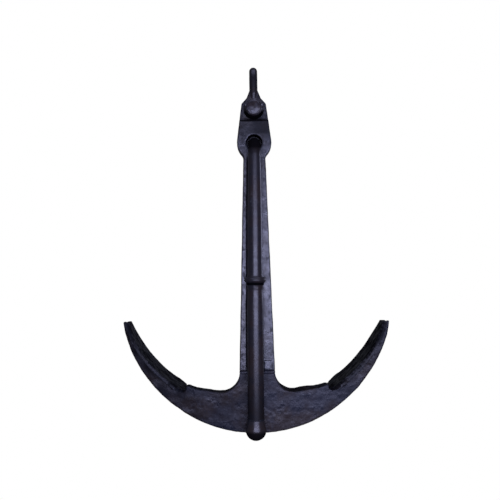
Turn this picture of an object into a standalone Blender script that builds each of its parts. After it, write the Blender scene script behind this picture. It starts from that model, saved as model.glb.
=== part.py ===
"""Stocked (Admiralty pattern) anchor, hung by its shackle, with the bent stock stowed along the shank.

Frame: +X along the right-hand arm, -Y towards the side that carries the stowed stock, +Z up.
The origin is the seat of the chain: the inside of the shackle bow at its top.
Heights below are measured up from the underside of the crown and turned into world Z by up().
"""
import math

import bmesh
import bpy
from mathutils import Matrix, Vector

MM = 0.001
GAP = 0.3 * MM                     # clearance between touching pieces
MERGE = 0.01 * MM

# Shank: a tapered flat bar with an eye boss for the stock and a thinner tang for the shackle
HANG_HEIGHT = 719 * MM             # chain seat above the underside of the crown
DEPTH = 38 * MM                    # shank and crown, front to back
SHANK_FOOT = 122 * MM              # joint between the shank and the crown
SHANK_FOOT_HALF = 35.7 * MM
SHANK_NECK = 547 * MM
SHANK_NECK_HALF = 22.3 * MM
EYE_HEIGHT = 582.5 * MM
EYE_RADIUS = 15.4 * MM
BOSS_RADIUS = 34.6 * MM
BOSS_FILLET = 14 * MM
TANG_FOOT = 628.2 * MM
TANG_DEPTH = 26 * MM
TANG_SHOULDER = 661 * MM
TANG_SHOULDER_HALF = 24.6 * MM
TANG_TOP = 677 * MM
TANG_TOP_HALF = 10 * MM
PAD_LOW = (14.5 * MM, 127 * MM)    # blank marking pad on the front face: x, height
PAD_HIGH = (29 * MM, 145 * MM)
PAD_RISE = 1.0 * MM

# Crown and arms: one crescent forging
OUTER_RADIUS = 275 * MM
OUTER_CENTRE = 275 * MM
PALM_RADIUS = 248.7 * MM           # inner face of the palms
PALM_CENTRE = 308.4 * MM
PALM_ASIDE = 19.8 * MM             # centre of each palm's curve, out from the centre plane
PALM_THICKNESS = 9 * MM
BILL_HEIGHT = 222.5 * MM
CROTCH_FILLET = 38 * MM
NECK_STRAIGHT = 5.5 * MM           # plain length left for the weld groove above the fillets
ARM_TOP_POINT = (80 * MM, 82.5 * MM)
ARM_TOP_SLOPE = 0.16
CHEEK_START = 60 * MM              # outside this the arms get thinner towards the bills
CHEEK_END = 264 * MM
BILL_DEPTH = 18 * MM

# Palms: curved shield-shaped plates, angles measured from straight down about the palm centre
PALM_START = math.radians(29.5)
PALM_HALF_WIDTH = 50 * MM
PALM_FOOT_HALF = 22 * MM
PALM_TIP_HALF = 20 * MM
PALM_SHOULDER = 0.24               # share of the length where the foot reaches full width
PALM_TAPER_START = 0.42
PALM_TAPER_POWER = 3.2
PALM_STATIONS = 26
PALM_OVERRUN = 1.06                # share of the length lofted before the bill is trimmed level
PALM_WELD_START = 0.05             # shares of the palm's length between which its beads run
PALM_WELD_END = 0.92
CROWN_GROOVE = 3.2 * MM            # bevels that form the groove between the shank and the crown
WELD_LEG = 5 * MM
WELD_LEG_TIP = 2.4 * MM
BEAD_BULGE = 0.62                  # how far the middle of a fillet bead stands out, in legs

# Stock: a round bar, bent through the eye, with a collar and a ball on each end
STOCK_Y = -41 * MM
LEG_HEIGHT = 579.5 * MM
LEG_RADIUS = 11.8 * MM
BEND_RADIUS = 22 * MM
BAR_RADII = (                      # height, radius of the long bar
    (38 * MM, 16.2 * MM),
    (255 * MM, 16.2 * MM),
    (286 * MM, 15.1 * MM),
    (319 * MM, 15.1 * MM),
    (360 * MM, 14.9 * MM),
    (448 * MM, 14.2 * MM),
    (530 * MM, 12.8 * MM),
)
BALL_RADIUS = 20.4 * MM
LOWER_BALL_HEIGHT = 11 * MM
REAR_BALL_Y = 142 * MM
STOWED_LEAN = math.radians(0.42)   # the stock hangs plumb while the shank leans a little
SPIGOT_RADIUS = 8.6 * MM
REAR_SPIGOT_RADIUS = 8.2 * MM
SPIGOT_REACH = 3.7 * MM
KNOB_RISE = 20 * MM                # flared neck of the lower end above its widest part
KNOB_NECK = 17.2 * MM
BEVEL_WELD = 3 * MM                # weld preparation on the bar's ends
COLLAR_LOW = 299.5 * MM
COLLAR_HIGH = 316.6 * MM
COLLAR_RADIUS = 21.4 * MM
COLLAR_NECK = 18.2 * MM
COLLAR_BEAD_SHARE = 0.36           # radius of the collar's rounded bead, in collar heights
COLLAR_NECK_SHARE = 0.30
COLLAR_WELD_WAIST = 0.35           # height of the fillet's waist, in fillet heights
COLLAR_WELD_LOW = 288.4 * MM

# Forelock key and washer, stowed on the short leg just behind the shank
KEY_WIDTH = 14 * MM
KEY_THICKNESS = 5 * MM
KEY_LEFT = -31 * MM
KEY_RIGHT = 33 * MM
STOW_WASHER_RADIUS = 24 * MM       # loose washer that closes the eye behind the stowed leg
STOW_WASHER_THICKNESS = 3 * MM
KEY_Y = DEPTH / 2 + STOW_WASHER_THICKNESS + 1 * MM + KEY_WIDTH / 2
WORKING_SLOT = 361 * MM
LANYARD_PLACE = 0.62               # share of the turned-up end's height at the lanyard hole

# Shackle
PIN_HEIGHT = 649.5 * MM
PIN_RADIUS = 9 * MM
PIN_HEAD_RADIUS = 15.8 * MM
PIN_HEAD_THICKNESS = 14 * MM
LUG_RADIUS = 20.6 * MM
LUG_INNER = TANG_DEPTH / 2 + 0.5 * MM
LUG_OUTER = 26.5 * MM
LUG_NECK = 684.5 * MM
BOW_RADIUS = 8.2 * MM
BOW_HALF_SPAN = 21.8 * MM
WASHER_THICKNESS = 3 * MM
WASHER_RADIUS = 14.5 * MM
SPLIT_WIRE = 1.25 * MM
SPLIT_HOLE = 3.1 * MM
SPLIT_Y = LUG_OUTER + WASHER_THICKNESS + 6 * MM
PIN_END = SPLIT_Y + 6.5 * MM

ROUND_SIDES = 32

PAINT = (0.020, 0.021, 0.030)
PAINT_DARK = (0.012, 0.012, 0.016)
STEEL = (0.16, 0.16, 0.17)


def up(height):
    """World Z of a height above the underside of the crown."""
    return height - HANG_HEIGHT


# ---------------------------------------------------------------- scene helpers

def clear_scene():
    for obj in list(bpy.data.objects):
        bpy.data.objects.remove(obj, do_unlink=True)


def make_collection(name):
    collection = bpy.data.collections.new(name)
    bpy.context.scene.collection.children.link(collection)
    return collection


def make_material(name, colour, roughness, metallic):
    material = bpy.data.materials.new(name)
    material.use_nodes = True
    shader = material.node_tree.nodes["Principled BSDF"]
    shader.inputs["Base Color"].default_value = (*colour, 1)
    shader.inputs["Roughness"].default_value = roughness
    shader.inputs["Metallic"].default_value = metallic
    return material


def add_object(name, mesh, collection, material=None, sharp=40):
    """Link a mesh as a named object, shaded smooth up to the sharp angle."""
    obj = bpy.data.objects.new(name, mesh)
    collection.objects.link(obj)
    if material:
        mesh.materials.append(material)
    mesh.shade_smooth()
    mesh.set_sharp_from_angle(angle=math.radians(sharp))
    return obj


def add_cutter(name, mesh, collection):
    cutter = add_object(name, mesh, collection)
    cutter.hide_render = True
    cutter.display_type = 'WIRE'
    return cutter


def mesh_from_bmesh(name, bm):
    bmesh.ops.recalc_face_normals(bm, faces=bm.faces)
    mesh = bpy.data.meshes.new(name)
    bm.to_mesh(mesh)
    bm.free()
    return mesh


def mesh_from_curve(curve_object):
    """Turn a curve object into a welded mesh in world space and remove the curve."""
    bpy.context.view_layer.update()
    graph = bpy.context.evaluated_depsgraph_get()
    mesh = bpy.data.meshes.new_from_object(curve_object.evaluated_get(graph))
    mesh.transform(curve_object.matrix_world)
    bpy.data.objects.remove(curve_object, do_unlink=True)
    bm = bmesh.new()
    bm.from_mesh(mesh)
    bmesh.ops.remove_doubles(bm, verts=bm.verts, dist=MERGE)
    bmesh.ops.recalc_face_normals(bm, faces=bm.faces)
    bm.to_mesh(mesh)
    bm.free()
    mesh.materials.clear()
    return mesh


def add_boolean(obj, cutter, operation='DIFFERENCE'):
    modifier = obj.modifiers.new(cutter.name, 'BOOLEAN')
    modifier.object = cutter
    modifier.operation = operation
    modifier.solver = 'EXACT'


def add_bevel(obj, width, segments=2, limit=50):
    modifier = obj.modifiers.new("Edge rounding", 'BEVEL')
    modifier.width = width
    modifier.segments = segments
    modifier.limit_method = 'ANGLE'
    modifier.angle_limit = math.radians(limit)
    modifier.use_clamp_overlap = True


# ---------------------------------------------------------------- shape helpers

def arc(centre_x, centre_z, radius, start, end, count):
    """Points on a circle in the X-Z plane; angles from +X towards +Z, in radians."""
    points = []
    for index in range(count + 1):
        angle = start + (end - start) * index / count
        points.append((centre_x + radius * math.cos(angle), centre_z + radius * math.sin(angle)))
    return points


def plate_mesh(name, outline, half_depth, y_centre=0.0):
    """A flat plate in the X-Z plane: a filled 2D curve extruded to both sides."""
    curve = bpy.data.curves.new(name, 'CURVE')
    curve.dimensions = '2D'
    curve.fill_mode = 'BOTH'
    curve.extrude = half_depth
    spline = curve.splines.new('POLY')
    spline.points.add(len(outline) - 1)
    for point, (x, height) in zip(spline.points, outline):
        point.co = (x, up(height), 0, 1)
    spline.use_cyclic_u = True
    curve_object = bpy.data.objects.new(name, curve)
    bpy.context.scene.collection.objects.link(curve_object)
    stand_up = Matrix.Rotation(math.radians(90), 4, 'X')
    curve_object.matrix_world = Matrix.Translation((0, y_centre, 0)) @ stand_up
    return mesh_from_curve(curve_object)


def tube_mesh(name, route, radius, resolution=6, cyclic=False):
    """A round bar along a route of (point, radius factor) pairs, with filled ends."""
    curve = bpy.data.curves.new(name, 'CURVE')
    curve.dimensions = '3D'
    curve.bevel_depth = radius
    curve.bevel_resolution = resolution
    curve.use_fill_caps = True
    spline = curve.splines.new('POLY')
    spline.points.add(len(route) - 1)
    for point, (place, factor) in zip(spline.points, route):
        point.co = (*place, 1)
        point.radius = factor
    spline.use_cyclic_u = cyclic
    curve_object = bpy.data.objects.new(name, curve)
    bpy.context.scene.collection.objects.link(curve_object)
    return mesh_from_curve(curve_object)


def loft_mesh(name, rings):
    """Skin between rings of the same number of points, closed at both ends."""
    bm = bmesh.new()
    loops = [[bm.verts.new(point) for point in ring] for ring in rings]
    sides = len(loops[0])
    for lower, upper in zip(loops, loops[1:]):
        for index in range(sides):
            following = (index + 1) % sides
            bm.faces.new((lower[index], lower[following], upper[following], upper[index]))
    bm.faces.new(loops[0])
    bm.faces.new(loops[-1])
    return mesh_from_bmesh(name, bm)


def turned_object(name, profile, collection, material, place, axis_turn, sides=ROUND_SIDES):
    """A profile of (radius, along) pairs at +X, turned about local Z by a Screw modifier."""
    bm = bmesh.new()
    verts = [bm.verts.new((radius, 0, along)) for radius, along in profile]
    for first, second in zip(verts, verts[1:]):
        bm.edges.new((first, second))
    if profile[0][0] > 0:
        bm.edges.new((verts[-1], verts[0]))
    mesh = bpy.data.meshes.new(name)
    bm.to_mesh(mesh)
    bm.free()
    obj = bpy.data.objects.new(name, mesh)
    collection.objects.link(obj)
    mesh.materials.append(material)
    obj.matrix_world = Matrix.Translation(place) @ axis_turn
    screw = obj.modifiers.new("Turning", 'SCREW')
    screw.steps = sides
    screw.render_steps = sides
    screw.use_merge_vertices = True
    screw.merge_threshold = MERGE
    screw.use_smooth_shade = True
    return obj


def box_mesh(name, low, high):
    low = Vector(low)
    high = Vector(high)
    bm = bmesh.new()
    bmesh.ops.create_cube(bm, size=1)
    bmesh.ops.scale(bm, vec=high - low, verts=bm.verts)
    bmesh.ops.translate(bm, vec=(low + high) / 2, verts=bm.verts)
    return mesh_from_bmesh(name, bm)


def rod_mesh(name, centre, radius, length, axis, sides=ROUND_SIDES):
    """A cylinder about centre, along the world axis given by its letter."""
    turns = {
        'X': Matrix.Rotation(math.radians(90), 4, 'Y'),
        'Y': Matrix.Rotation(math.radians(90), 4, 'X'),
        'Z': Matrix.Identity(4),
    }
    bm = bmesh.new()
    bmesh.ops.create_cone(bm, cap_ends=True, segments=sides, radius1=radius, radius2=radius,
                          depth=length, matrix=Matrix.Translation(centre) @ turns[axis])
    return mesh_from_bmesh(name, bm)


def bevel_level_edges(mesh, level, width):
    """Chamfer the edges that lie in the horizontal plane at this height."""
    bm = bmesh.new()
    bm.from_mesh(mesh)
    edges = []
    for edge in bm.edges:
        on_level = all(abs(vert.co.z - up(level)) < MERGE for vert in edge.verts)
        if on_level and edge.calc_face_angle(0) > math.radians(30):
            edges.append(edge)
    bmesh.ops.bevel(bm, geom=edges, offset=width, segments=1, affect='EDGES', profile=0.5)
    bmesh.ops.recalc_face_normals(bm, faces=bm.faces)
    bm.to_mesh(mesh)
    bm.free()


def trim_mesh(mesh, point, normal):
    """Cut away what lies on the normal's side of a plane and close the cut."""
    bm = bmesh.new()
    bm.from_mesh(mesh)
    geometry = bm.verts[:] + bm.edges[:] + bm.faces[:]
    cut = bmesh.ops.bisect_plane(bm, geom=geometry, plane_co=point, plane_no=normal,
                                 clear_outer=True, dist=MERGE)
    rim = [item for item in cut["geom_cut"] if isinstance(item, bmesh.types.BMEdge)]
    bmesh.ops.contextual_create(bm, geom=rim)
    bmesh.ops.recalc_face_normals(bm, faces=bm.faces)
    bm.to_mesh(mesh)
    bm.free()


# ---------------------------------------------------------------- crown, arms and palms

def arm_top(x):
    return ARM_TOP_POINT[1] + ARM_TOP_SLOPE * (x - ARM_TOP_POINT[0])


def cheek_half_depth(x):
    """Half of the arm's front-to-back depth, which falls off towards the bills."""
    if abs(x) <= CHEEK_START:
        return DEPTH / 2
    share = (abs(x) - CHEEK_START) / (CHEEK_END - CHEEK_START)
    return DEPTH / 2 + (BILL_DEPTH - DEPTH) / 2 * share


def crotch_arc():
    """Fillet between the side of the shank and the top of the arm."""
    slope_angle = math.atan(ARM_TOP_SLOPE)
    centre_x = SHANK_FOOT_HALF + CROTCH_FILLET
    centre_height = arm_top(centre_x) + CROTCH_FILLET / math.cos(slope_angle)
    top = SHANK_FOOT - NECK_STRAIGHT
    start = math.pi + math.asin((centre_height - top) / CROTCH_FILLET)
    return arc(centre_x, centre_height, CROTCH_FILLET, start, 1.5 * math.pi + slope_angle, 12)


def crescent_half():
    """Right half of the crown's outline, from the top of its neck round to the underside."""
    neck_top = SHANK_FOOT - GAP / 2
    seat_radius = PALM_RADIUS + PALM_THICKNESS + GAP
    seat_start = PALM_START - GAP / PALM_RADIUS
    notch = PALM_ASIDE + PALM_RADIUS * math.sin(seat_start)
    seat_end = math.acos((PALM_CENTRE - BILL_HEIGHT) / seat_radius)
    bill_angle = math.asin((BILL_HEIGHT - OUTER_CENTRE) / OUTER_RADIUS)
    points = [(0, neck_top), (SHANK_FOOT_HALF, neck_top)]
    points += crotch_arc()
    points.append((notch, arm_top(notch)))
    points += arc(PALM_ASIDE, PALM_CENTRE, seat_radius, seat_start - math.pi / 2, seat_end - math.pi / 2, 18)
    points += arc(0, OUTER_CENTRE, OUTER_RADIUS, bill_angle, -math.pi / 2, 34)
    return points


def crown_arms(collection, material):
    half = crescent_half()
    left = [(-x, height) for x, height in reversed(half[1:-1])]
    mesh = plate_mesh("crown_arms", half + left, DEPTH / 2)
    run = CHEEK_END - CHEEK_START
    fall = (DEPTH - BILL_DEPTH) / 2
    for side in (-1, 1):
        for face in (-1, 1):
            corner = (side * CHEEK_START, face * DEPTH / 2, 0)
            trim_mesh(mesh, corner, Vector((side * fall, face * run, 0)).normalized())
    bevel_level_edges(mesh, SHANK_FOOT - GAP / 2, CROWN_GROOVE)
    crown = add_object("crown_arms", mesh, collection, material)
    add_bevel(crown, 2 * MM)
    return crown


def palm_half_width(share):
    if share < PALM_SHOULDER:
        rise = math.sqrt(1 - (1 - share / PALM_SHOULDER) ** 2)
        return PALM_FOOT_HALF + (PALM_HALF_WIDTH - PALM_FOOT_HALF) * rise
    if share < PALM_TAPER_START:
        return PALM_HALF_WIDTH
    taper = ((share - PALM_TAPER_START) / (1 - PALM_TAPER_START)) ** PALM_TAPER_POWER
    return PALM_HALF_WIDTH - (PALM_HALF_WIDTH - PALM_TIP_HALF) * taper


def palm_point(side, angle, radius, y):
    """A point at an angle from straight down about the palm centre."""
    x = PALM_ASIDE + radius * math.sin(angle)
    return (side * x, y, up(PALM_CENTRE - radius * math.cos(angle)))


def palm_shares():
    """Stations along the palm, closer together round the corners of its foot."""
    foot = [PALM_SHOULDER * (1 - math.cos(math.pi / 2 * step / 6)) for step in range(7)]
    rest = PALM_STATIONS - len(foot)
    body = [PALM_SHOULDER + (PALM_OVERRUN - PALM_SHOULDER) * (step + 1) / rest for step in range(rest)]
    return foot + body


def palm(name, side, collection, material):
    bill_angle = math.acos((PALM_CENTRE - BILL_HEIGHT) / PALM_RADIUS)
    rings = []
    for share in palm_shares():
        angle = PALM_START + (bill_angle - PALM_START) * share
        width = palm_half_width(min(share, 1))
        outer = PALM_RADIUS + PALM_THICKNESS
        rings.append([
            palm_point(side, angle, PALM_RADIUS, -width),
            palm_point(side, angle, PALM_RADIUS, width),
            palm_point(side, angle, outer, width),
            palm_point(side, angle, outer, -width),
        ])
    mesh = loft_mesh(name, rings)
    trim_mesh(mesh, (0, 0, up(BILL_HEIGHT)), (0, 0, 1))
    plate = add_object(name, mesh, collection, material)
    add_bevel(plate, 1.5 * MM, segments=1)
    return plate


def palm_weld(name, side, face, collection, material):
    """Fillet bead in the corner between the back of the palm and one cheek of the arm."""
    bill_angle = math.acos((PALM_CENTRE - BILL_HEIGHT) / PALM_RADIUS)
    root = PALM_RADIUS + PALM_THICKNESS + GAP
    rings = []
    for step in range(17):
        share = PALM_WELD_START + (PALM_WELD_END - PALM_WELD_START) * step / 16
        angle = PALM_START + (bill_angle - PALM_START) * share
        leg = WELD_LEG + (WELD_LEG_TIP - WELD_LEG) * share
        base = cheek_half_depth(PALM_ASIDE + root * math.sin(angle)) + GAP
        rings.append([
            palm_point(side, angle, root, face * base),
            palm_point(side, angle, root, face * (base + leg)),
            palm_point(side, angle, root + BEAD_BULGE * leg, face * (base + BEAD_BULGE * leg)),
            palm_point(side, angle, root + leg, face * base),
        ])
    return add_object(name, loft_mesh(name, rings), collection, material)


def crown_weld(collection, material):
    """Bead round the joint between the shank and the crown, low in its prepared groove."""
    sink = 1.0 * MM
    bead = 1.2 * MM
    corner = 2.5 * MM
    half_x = SHANK_FOOT_HALF - sink
    half_y = DEPTH / 2 - sink
    route = []
    corners = ((1, 1, 0), (-1, 1, 90), (-1, -1, 180), (1, -1, 270))
    for sign_x, sign_y, start in corners:
        for step in range(4):
            angle = math.radians(start + 30 * step)
            x = sign_x * (half_x - corner) + corner * math.cos(angle)
            y = sign_y * (half_y - corner) + corner * math.sin(angle)
            route.append(((x, y, up(SHANK_FOOT)), 1))
    mesh = tube_mesh("crown_weld", route, bead, resolution=2, cyclic=True)
    return add_object("crown_weld", mesh, collection, material)


# ---------------------------------------------------------------- shank

def shank_half():
    """Right half of the shank's outline, from its foot up round the boss to the tang's top."""
    taper = math.atan2(SHANK_FOOT_HALF - SHANK_NECK_HALF, SHANK_NECK - SHANK_FOOT)
    reach = BOSS_RADIUS + BOSS_FILLET
    fillet_x = SHANK_NECK_HALF + BOSS_FILLET * math.cos(taper)
    fillet_height = EYE_HEIGHT - math.sqrt(reach ** 2 - fillet_x ** 2)
    meet = math.atan2(fillet_height - EYE_HEIGHT, fillet_x)
    shoulder_x = TANG_SHOULDER_HALF
    shoulder_rise = TANG_SHOULDER - EYE_HEIGHT
    span = math.hypot(shoulder_x, shoulder_rise)
    leave = math.atan2(shoulder_rise, shoulder_x) - math.acos(BOSS_RADIUS / span)
    points = [(SHANK_FOOT_HALF, SHANK_FOOT + GAP / 2)]
    points += arc(fillet_x, fillet_height, BOSS_FILLET, math.pi - taper, meet + math.pi, 5)
    points += arc(0, EYE_HEIGHT, BOSS_RADIUS, meet, leave, 12)[1:]
    points.append((TANG_SHOULDER_HALF, TANG_SHOULDER))
    points.append((TANG_TOP_HALF, TANG_TOP))
    return points


def shank(collection, cutters, material):
    half = shank_half()
    left = [(-x, height) for x, height in reversed(half)]
    mesh = plate_mesh("shank", half + left, DEPTH / 2)
    bevel_level_edges(mesh, SHANK_FOOT + GAP / 2, CROWN_GROOVE)
    bar = add_object("shank", mesh, collection, material)
    for name, face in (("tang_relief_front", -1), ("tang_relief_rear", 1)):
        inner = face * TANG_DEPTH / 2
        outer = face * DEPTH
        low = (-60 * MM, min(inner, outer), up(TANG_FOOT))
        high = (60 * MM, max(inner, outer), up(TANG_TOP + 20 * MM))
        add_boolean(bar, add_cutter(name, box_mesh(name, low, high), cutters))
    eye = rod_mesh("stock_eye", (0, 0, up(EYE_HEIGHT)), EYE_RADIUS, 2 * DEPTH, 'Y')
    add_boolean(bar, add_cutter("stock_eye", eye, cutters))
    hole = rod_mesh("tang_hole", (0, 0, up(PIN_HEIGHT)), PIN_RADIUS + 0.5 * MM, 2 * DEPTH, 'Y')
    add_boolean(bar, add_cutter("tang_hole", hole, cutters))
    low = (PAD_LOW[0], -DEPTH / 2 - PAD_RISE, up(PAD_LOW[1]))
    high = (PAD_HIGH[0], -DEPTH / 4, up(PAD_HIGH[1]))
    pad = add_cutter("marking_pad", box_mesh("marking_pad", low, high), cutters)
    add_bevel(bar, 1.5 * MM)
    add_boolean(bar, pad, 'UNION')
    return bar


# ---------------------------------------------------------------- stock

def stock_route():
    """The bar from its lower end, up the front of the shank, round the bend and out behind."""
    low = LOWER_BALL_HEIGHT + KNOB_RISE + GAP
    first_radius = BAR_RADII[0][1]
    route = [
        ((0, STOCK_Y, up(LOWER_BALL_HEIGHT - SPIGOT_REACH)), SPIGOT_RADIUS),
        ((0, STOCK_Y, up(low - 0.05 * MM)), SPIGOT_RADIUS),
        ((0, STOCK_Y, up(low)), first_radius - BEVEL_WELD),
        ((0, STOCK_Y, up(low + BEVEL_WELD)), first_radius),
    ]
    for height, radius in BAR_RADII[1:]:
        route.append(((0, STOCK_Y, up(height)), radius))
    bend_start = LEG_HEIGHT - BEND_RADIUS
    for step in range(9):
        angle = math.pi / 2 * step / 8
        y = STOCK_Y + BEND_RADIUS * (1 - math.cos(angle))
        height = bend_start + BEND_RADIUS * math.sin(angle)
        route.append(((0, y, up(height)), LEG_RADIUS + 0.5 * MM * (1 - step / 8)))
    rear_face = math.sqrt(BALL_RADIUS ** 2 - LEG_RADIUS ** 2) + GAP
    rear = REAR_BALL_Y - rear_face
    route += [
        ((0, rear - BEVEL_WELD, up(LEG_HEIGHT)), LEG_RADIUS),
        ((0, rear, up(LEG_HEIGHT)), LEG_RADIUS - BEVEL_WELD),
        ((0, rear + 0.05 * MM, up(LEG_HEIGHT)), REAR_SPIGOT_RADIUS),
        ((0, REAR_BALL_Y + SPIGOT_REACH, up(LEG_HEIGHT)), REAR_SPIGOT_RADIUS),
    ]
    return [(place, radius / LEG_RADIUS) for place, radius in route]


def stock_rod(collection, cutters, material):
    mesh = tube_mesh("stock_rod", stock_route(), LEG_RADIUS, resolution=8)
    rod = add_object("stock_rod", mesh, collection, material)
    half_width = KEY_WIDTH / 2 + GAP
    half_thick = KEY_THICKNESS / 2 + GAP
    low = (-40 * MM, KEY_Y - half_width, up(LEG_HEIGHT) - half_thick)
    high = (40 * MM, KEY_Y + half_width, up(LEG_HEIGHT) + half_thick)
    add_boolean(rod, add_cutter("stowing_slot", box_mesh("stowing_slot", low, high), cutters))
    low = (-40 * MM, STOCK_Y - half_thick, up(WORKING_SLOT) - half_width)
    high = (40 * MM, STOCK_Y + half_thick, up(WORKING_SLOT) + half_width)
    add_boolean(rod, add_cutter("working_slot", box_mesh("working_slot", low, high), cutters))
    return rod


def ball_profile(bar_radius, spigot):
    """A ball with a flat where the bar meets it and a blind bore for the bar's spigot."""
    flat_angle = math.asin(bar_radius / BALL_RADIUS)
    flat = BALL_RADIUS * math.cos(flat_angle)
    bore = spigot + GAP
    floor = -SPIGOT_REACH - GAP
    profile = [(0, floor), (bore, floor), (bore, flat)]
    for step in range(13):
        angle = flat_angle + (math.pi - flat_angle) * step / 12
        profile.append((BALL_RADIUS * math.sin(angle), BALL_RADIUS * math.cos(angle)))
    profile[-1] = (0, -BALL_RADIUS)
    return profile


def knob_profile(spigot):
    """The lower end: a neck that flares from the bar to a round underside, bored for the bar's spigot."""
    bore = spigot + GAP
    floor = -SPIGOT_REACH - GAP
    profile = [(0, floor), (bore, floor), (bore, KNOB_RISE), (KNOB_NECK, KNOB_RISE)]
    for step in range(9):
        angle = math.pi / 2 * (1 + step / 8)
        profile.append((BALL_RADIUS * math.sin(angle), BALL_RADIUS * math.cos(angle)))
    profile[-1] = (0, -BALL_RADIUS)
    return profile


def stock_balls(collection, material):
    upright = Matrix.Identity(4)
    facing_front = Matrix.Rotation(math.radians(90), 4, 'X')
    low = (0, STOCK_Y, up(LOWER_BALL_HEIGHT))
    rear = (0, REAR_BALL_Y, up(LEG_HEIGHT))
    lower = turned_object("stock_ball_lower", knob_profile(SPIGOT_RADIUS), collection, material, low, upright)
    upper = turned_object("stock_ball_upper", ball_profile(LEG_RADIUS, REAR_SPIGOT_RADIUS),
                          collection, material, rear, facing_front)
    return [lower, upper]


def ring_profile(ring_radius, wire, along, count=10):
    """A round bead's section, run from its top down the outer side."""
    profile = []
    for step in range(count):
        angle = math.pi / 2 - 2 * math.pi * step / count
        profile.append((ring_radius + wire * math.cos(angle), along + wire * math.sin(angle)))
    return profile


def ball_welds(collection, material):
    bead = 1.2 * MM
    welds = []
    rear_flat = math.sqrt(BALL_RADIUS ** 2 - LEG_RADIUS ** 2)
    places = (
        ("ball_weld_lower", BAR_RADII[0][1], KNOB_RISE, (0, STOCK_Y, up(LOWER_BALL_HEIGHT)), 0),
        ("ball_weld_upper", LEG_RADIUS, rear_flat, (0, REAR_BALL_Y, up(LEG_HEIGHT)), 90),
    )
    for name, bar_radius, flat, place, turn in places:
        profile = ring_profile(bar_radius + 0.4 * MM, bead, flat + bead + GAP)
        axis_turn = Matrix.Rotation(math.radians(turn), 4, 'X')
        welds.append(turned_object(name, profile, collection, material, place, axis_turn))
    return welds


def stock_collar(collection, material):
    """Ring whose rounded upper side bears on the shank when the stock is in use."""
    bore = BAR_RADII[2][1] + GAP
    height = COLLAR_HIGH - COLLAR_LOW
    bead = height * COLLAR_BEAD_SHARE
    profile = [(bore, height)]
    for step in range(1, 8):
        angle = math.radians(90 - 135 * step / 7)
        profile.append((COLLAR_RADIUS - bead + bead * math.cos(angle), height - bead + bead * math.sin(angle)))
    profile += [(COLLAR_NECK, height * COLLAR_NECK_SHARE), (COLLAR_NECK, 0), (bore, 0)]
    place = (0, STOCK_Y, up(COLLAR_LOW))
    return turned_object("stock_collar", profile, collection, material, place, Matrix.Identity(4))


def collar_weld(collection, material):
    """Sloping fillet under the collar."""
    bore = BAR_RADII[2][1] + GAP
    height = COLLAR_LOW - GAP - COLLAR_WELD_LOW
    profile = [
        (bore, height),
        (COLLAR_NECK, height),
        (COLLAR_NECK - 0.8 * MM, height * COLLAR_WELD_WAIST),
        (bore + 0.8 * MM, 0),
        (bore, 0),
    ]
    place = (0, STOCK_Y, up(COLLAR_WELD_LOW))
    return turned_object("collar_weld", profile, collection, material, place, Matrix.Identity(4))


def stow_washer(collection, material):
    """Flat washer between the back of the shank and the stowed key."""
    bore = LEG_RADIUS + GAP
    rim = STOW_WASHER_RADIUS
    profile = [
        (bore, STOW_WASHER_THICKNESS),
        (rim - 0.6 * MM, STOW_WASHER_THICKNESS),
        (rim, STOW_WASHER_THICKNESS - 0.6 * MM),
        (rim, 0),
        (bore, 0),
    ]
    facing_rear = Matrix.Rotation(math.radians(-90), 4, 'X')
    place = (0, DEPTH / 2 + GAP, up(LEG_HEIGHT))
    return turned_object("stow_washer", profile, collection, material, place, facing_rear)


def forelock_key(collection, cutters, material):
    """Flat key with a turned-up head, its origin on the line that it slides along."""
    turn_up = 16 * MM
    half = KEY_THICKNESS / 2
    outline = [
        (KEY_LEFT, -0.4 * half),
        (KEY_LEFT + 6 * MM, -half),
        (KEY_RIGHT - 1.5 * MM, -half),
        (KEY_RIGHT, -half + 1.5 * MM),
        (KEY_RIGHT, turn_up),
        (KEY_RIGHT - KEY_THICKNESS, turn_up),
        (KEY_RIGHT - KEY_THICKNESS, half),
        (KEY_LEFT + 6 * MM, half),
        (KEY_LEFT, 0.4 * half),
    ]
    raised = [(x, LEG_HEIGHT + rise) for x, rise in outline]
    mesh = plate_mesh("forelock_key", raised, KEY_WIDTH / 2, KEY_Y)
    key = add_object("forelock_key", mesh, collection, material)
    centre = (KEY_RIGHT, KEY_Y, up(LEG_HEIGHT) + LANYARD_PLACE * turn_up)
    hole = rod_mesh("lanyard_hole", centre, 2.6 * MM, 30 * MM, 'X', sides=16)
    add_boolean(key, add_cutter("lanyard_hole", hole, cutters))
    return key


# ---------------------------------------------------------------- shackle

def lug_outline():
    """Round lug drawn in to the width of the bow's bar."""
    rise = LUG_NECK - PIN_HEIGHT
    span = math.hypot(BOW_RADIUS, rise)
    leave = math.atan2(rise, BOW_RADIUS) - math.acos(LUG_RADIUS / span)
    around = arc(0, PIN_HEIGHT, LUG_RADIUS, leave, -math.pi - leave, 30)
    return [(BOW_RADIUS, LUG_NECK)] + around + [(-BOW_RADIUS, LUG_NECK)]


def bow_route():
    """Legs that swell out of the lugs above the pin's head, and a half-round top."""
    crest = HANG_HEIGHT + BOW_RADIUS - BOW_HALF_SPAN
    middle = (LUG_INNER + LUG_OUTER) / 2
    leg = (
        (middle, PIN_HEIGHT + PIN_HEAD_RADIUS - 2 * MM, 0.75),
        (BOW_HALF_SPAN - 0.7 * MM, PIN_HEIGHT + PIN_HEAD_RADIUS + 6 * MM, 0.9),
        (BOW_HALF_SPAN, PIN_HEIGHT + PIN_HEAD_RADIUS + 15 * MM, 1),
    )
    front = [((0, -y, up(height)), factor) for y, height, factor in leg]
    rear = [((0, y, up(height)), factor) for y, height, factor in reversed(leg)]
    top = []
    for step in range(17):
        angle = math.pi - math.pi * step / 16
        y = BOW_HALF_SPAN * math.cos(angle)
        top.append(((0, y, up(crest + BOW_HALF_SPAN * math.sin(angle))), 1))
    return front + top + rear


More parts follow.
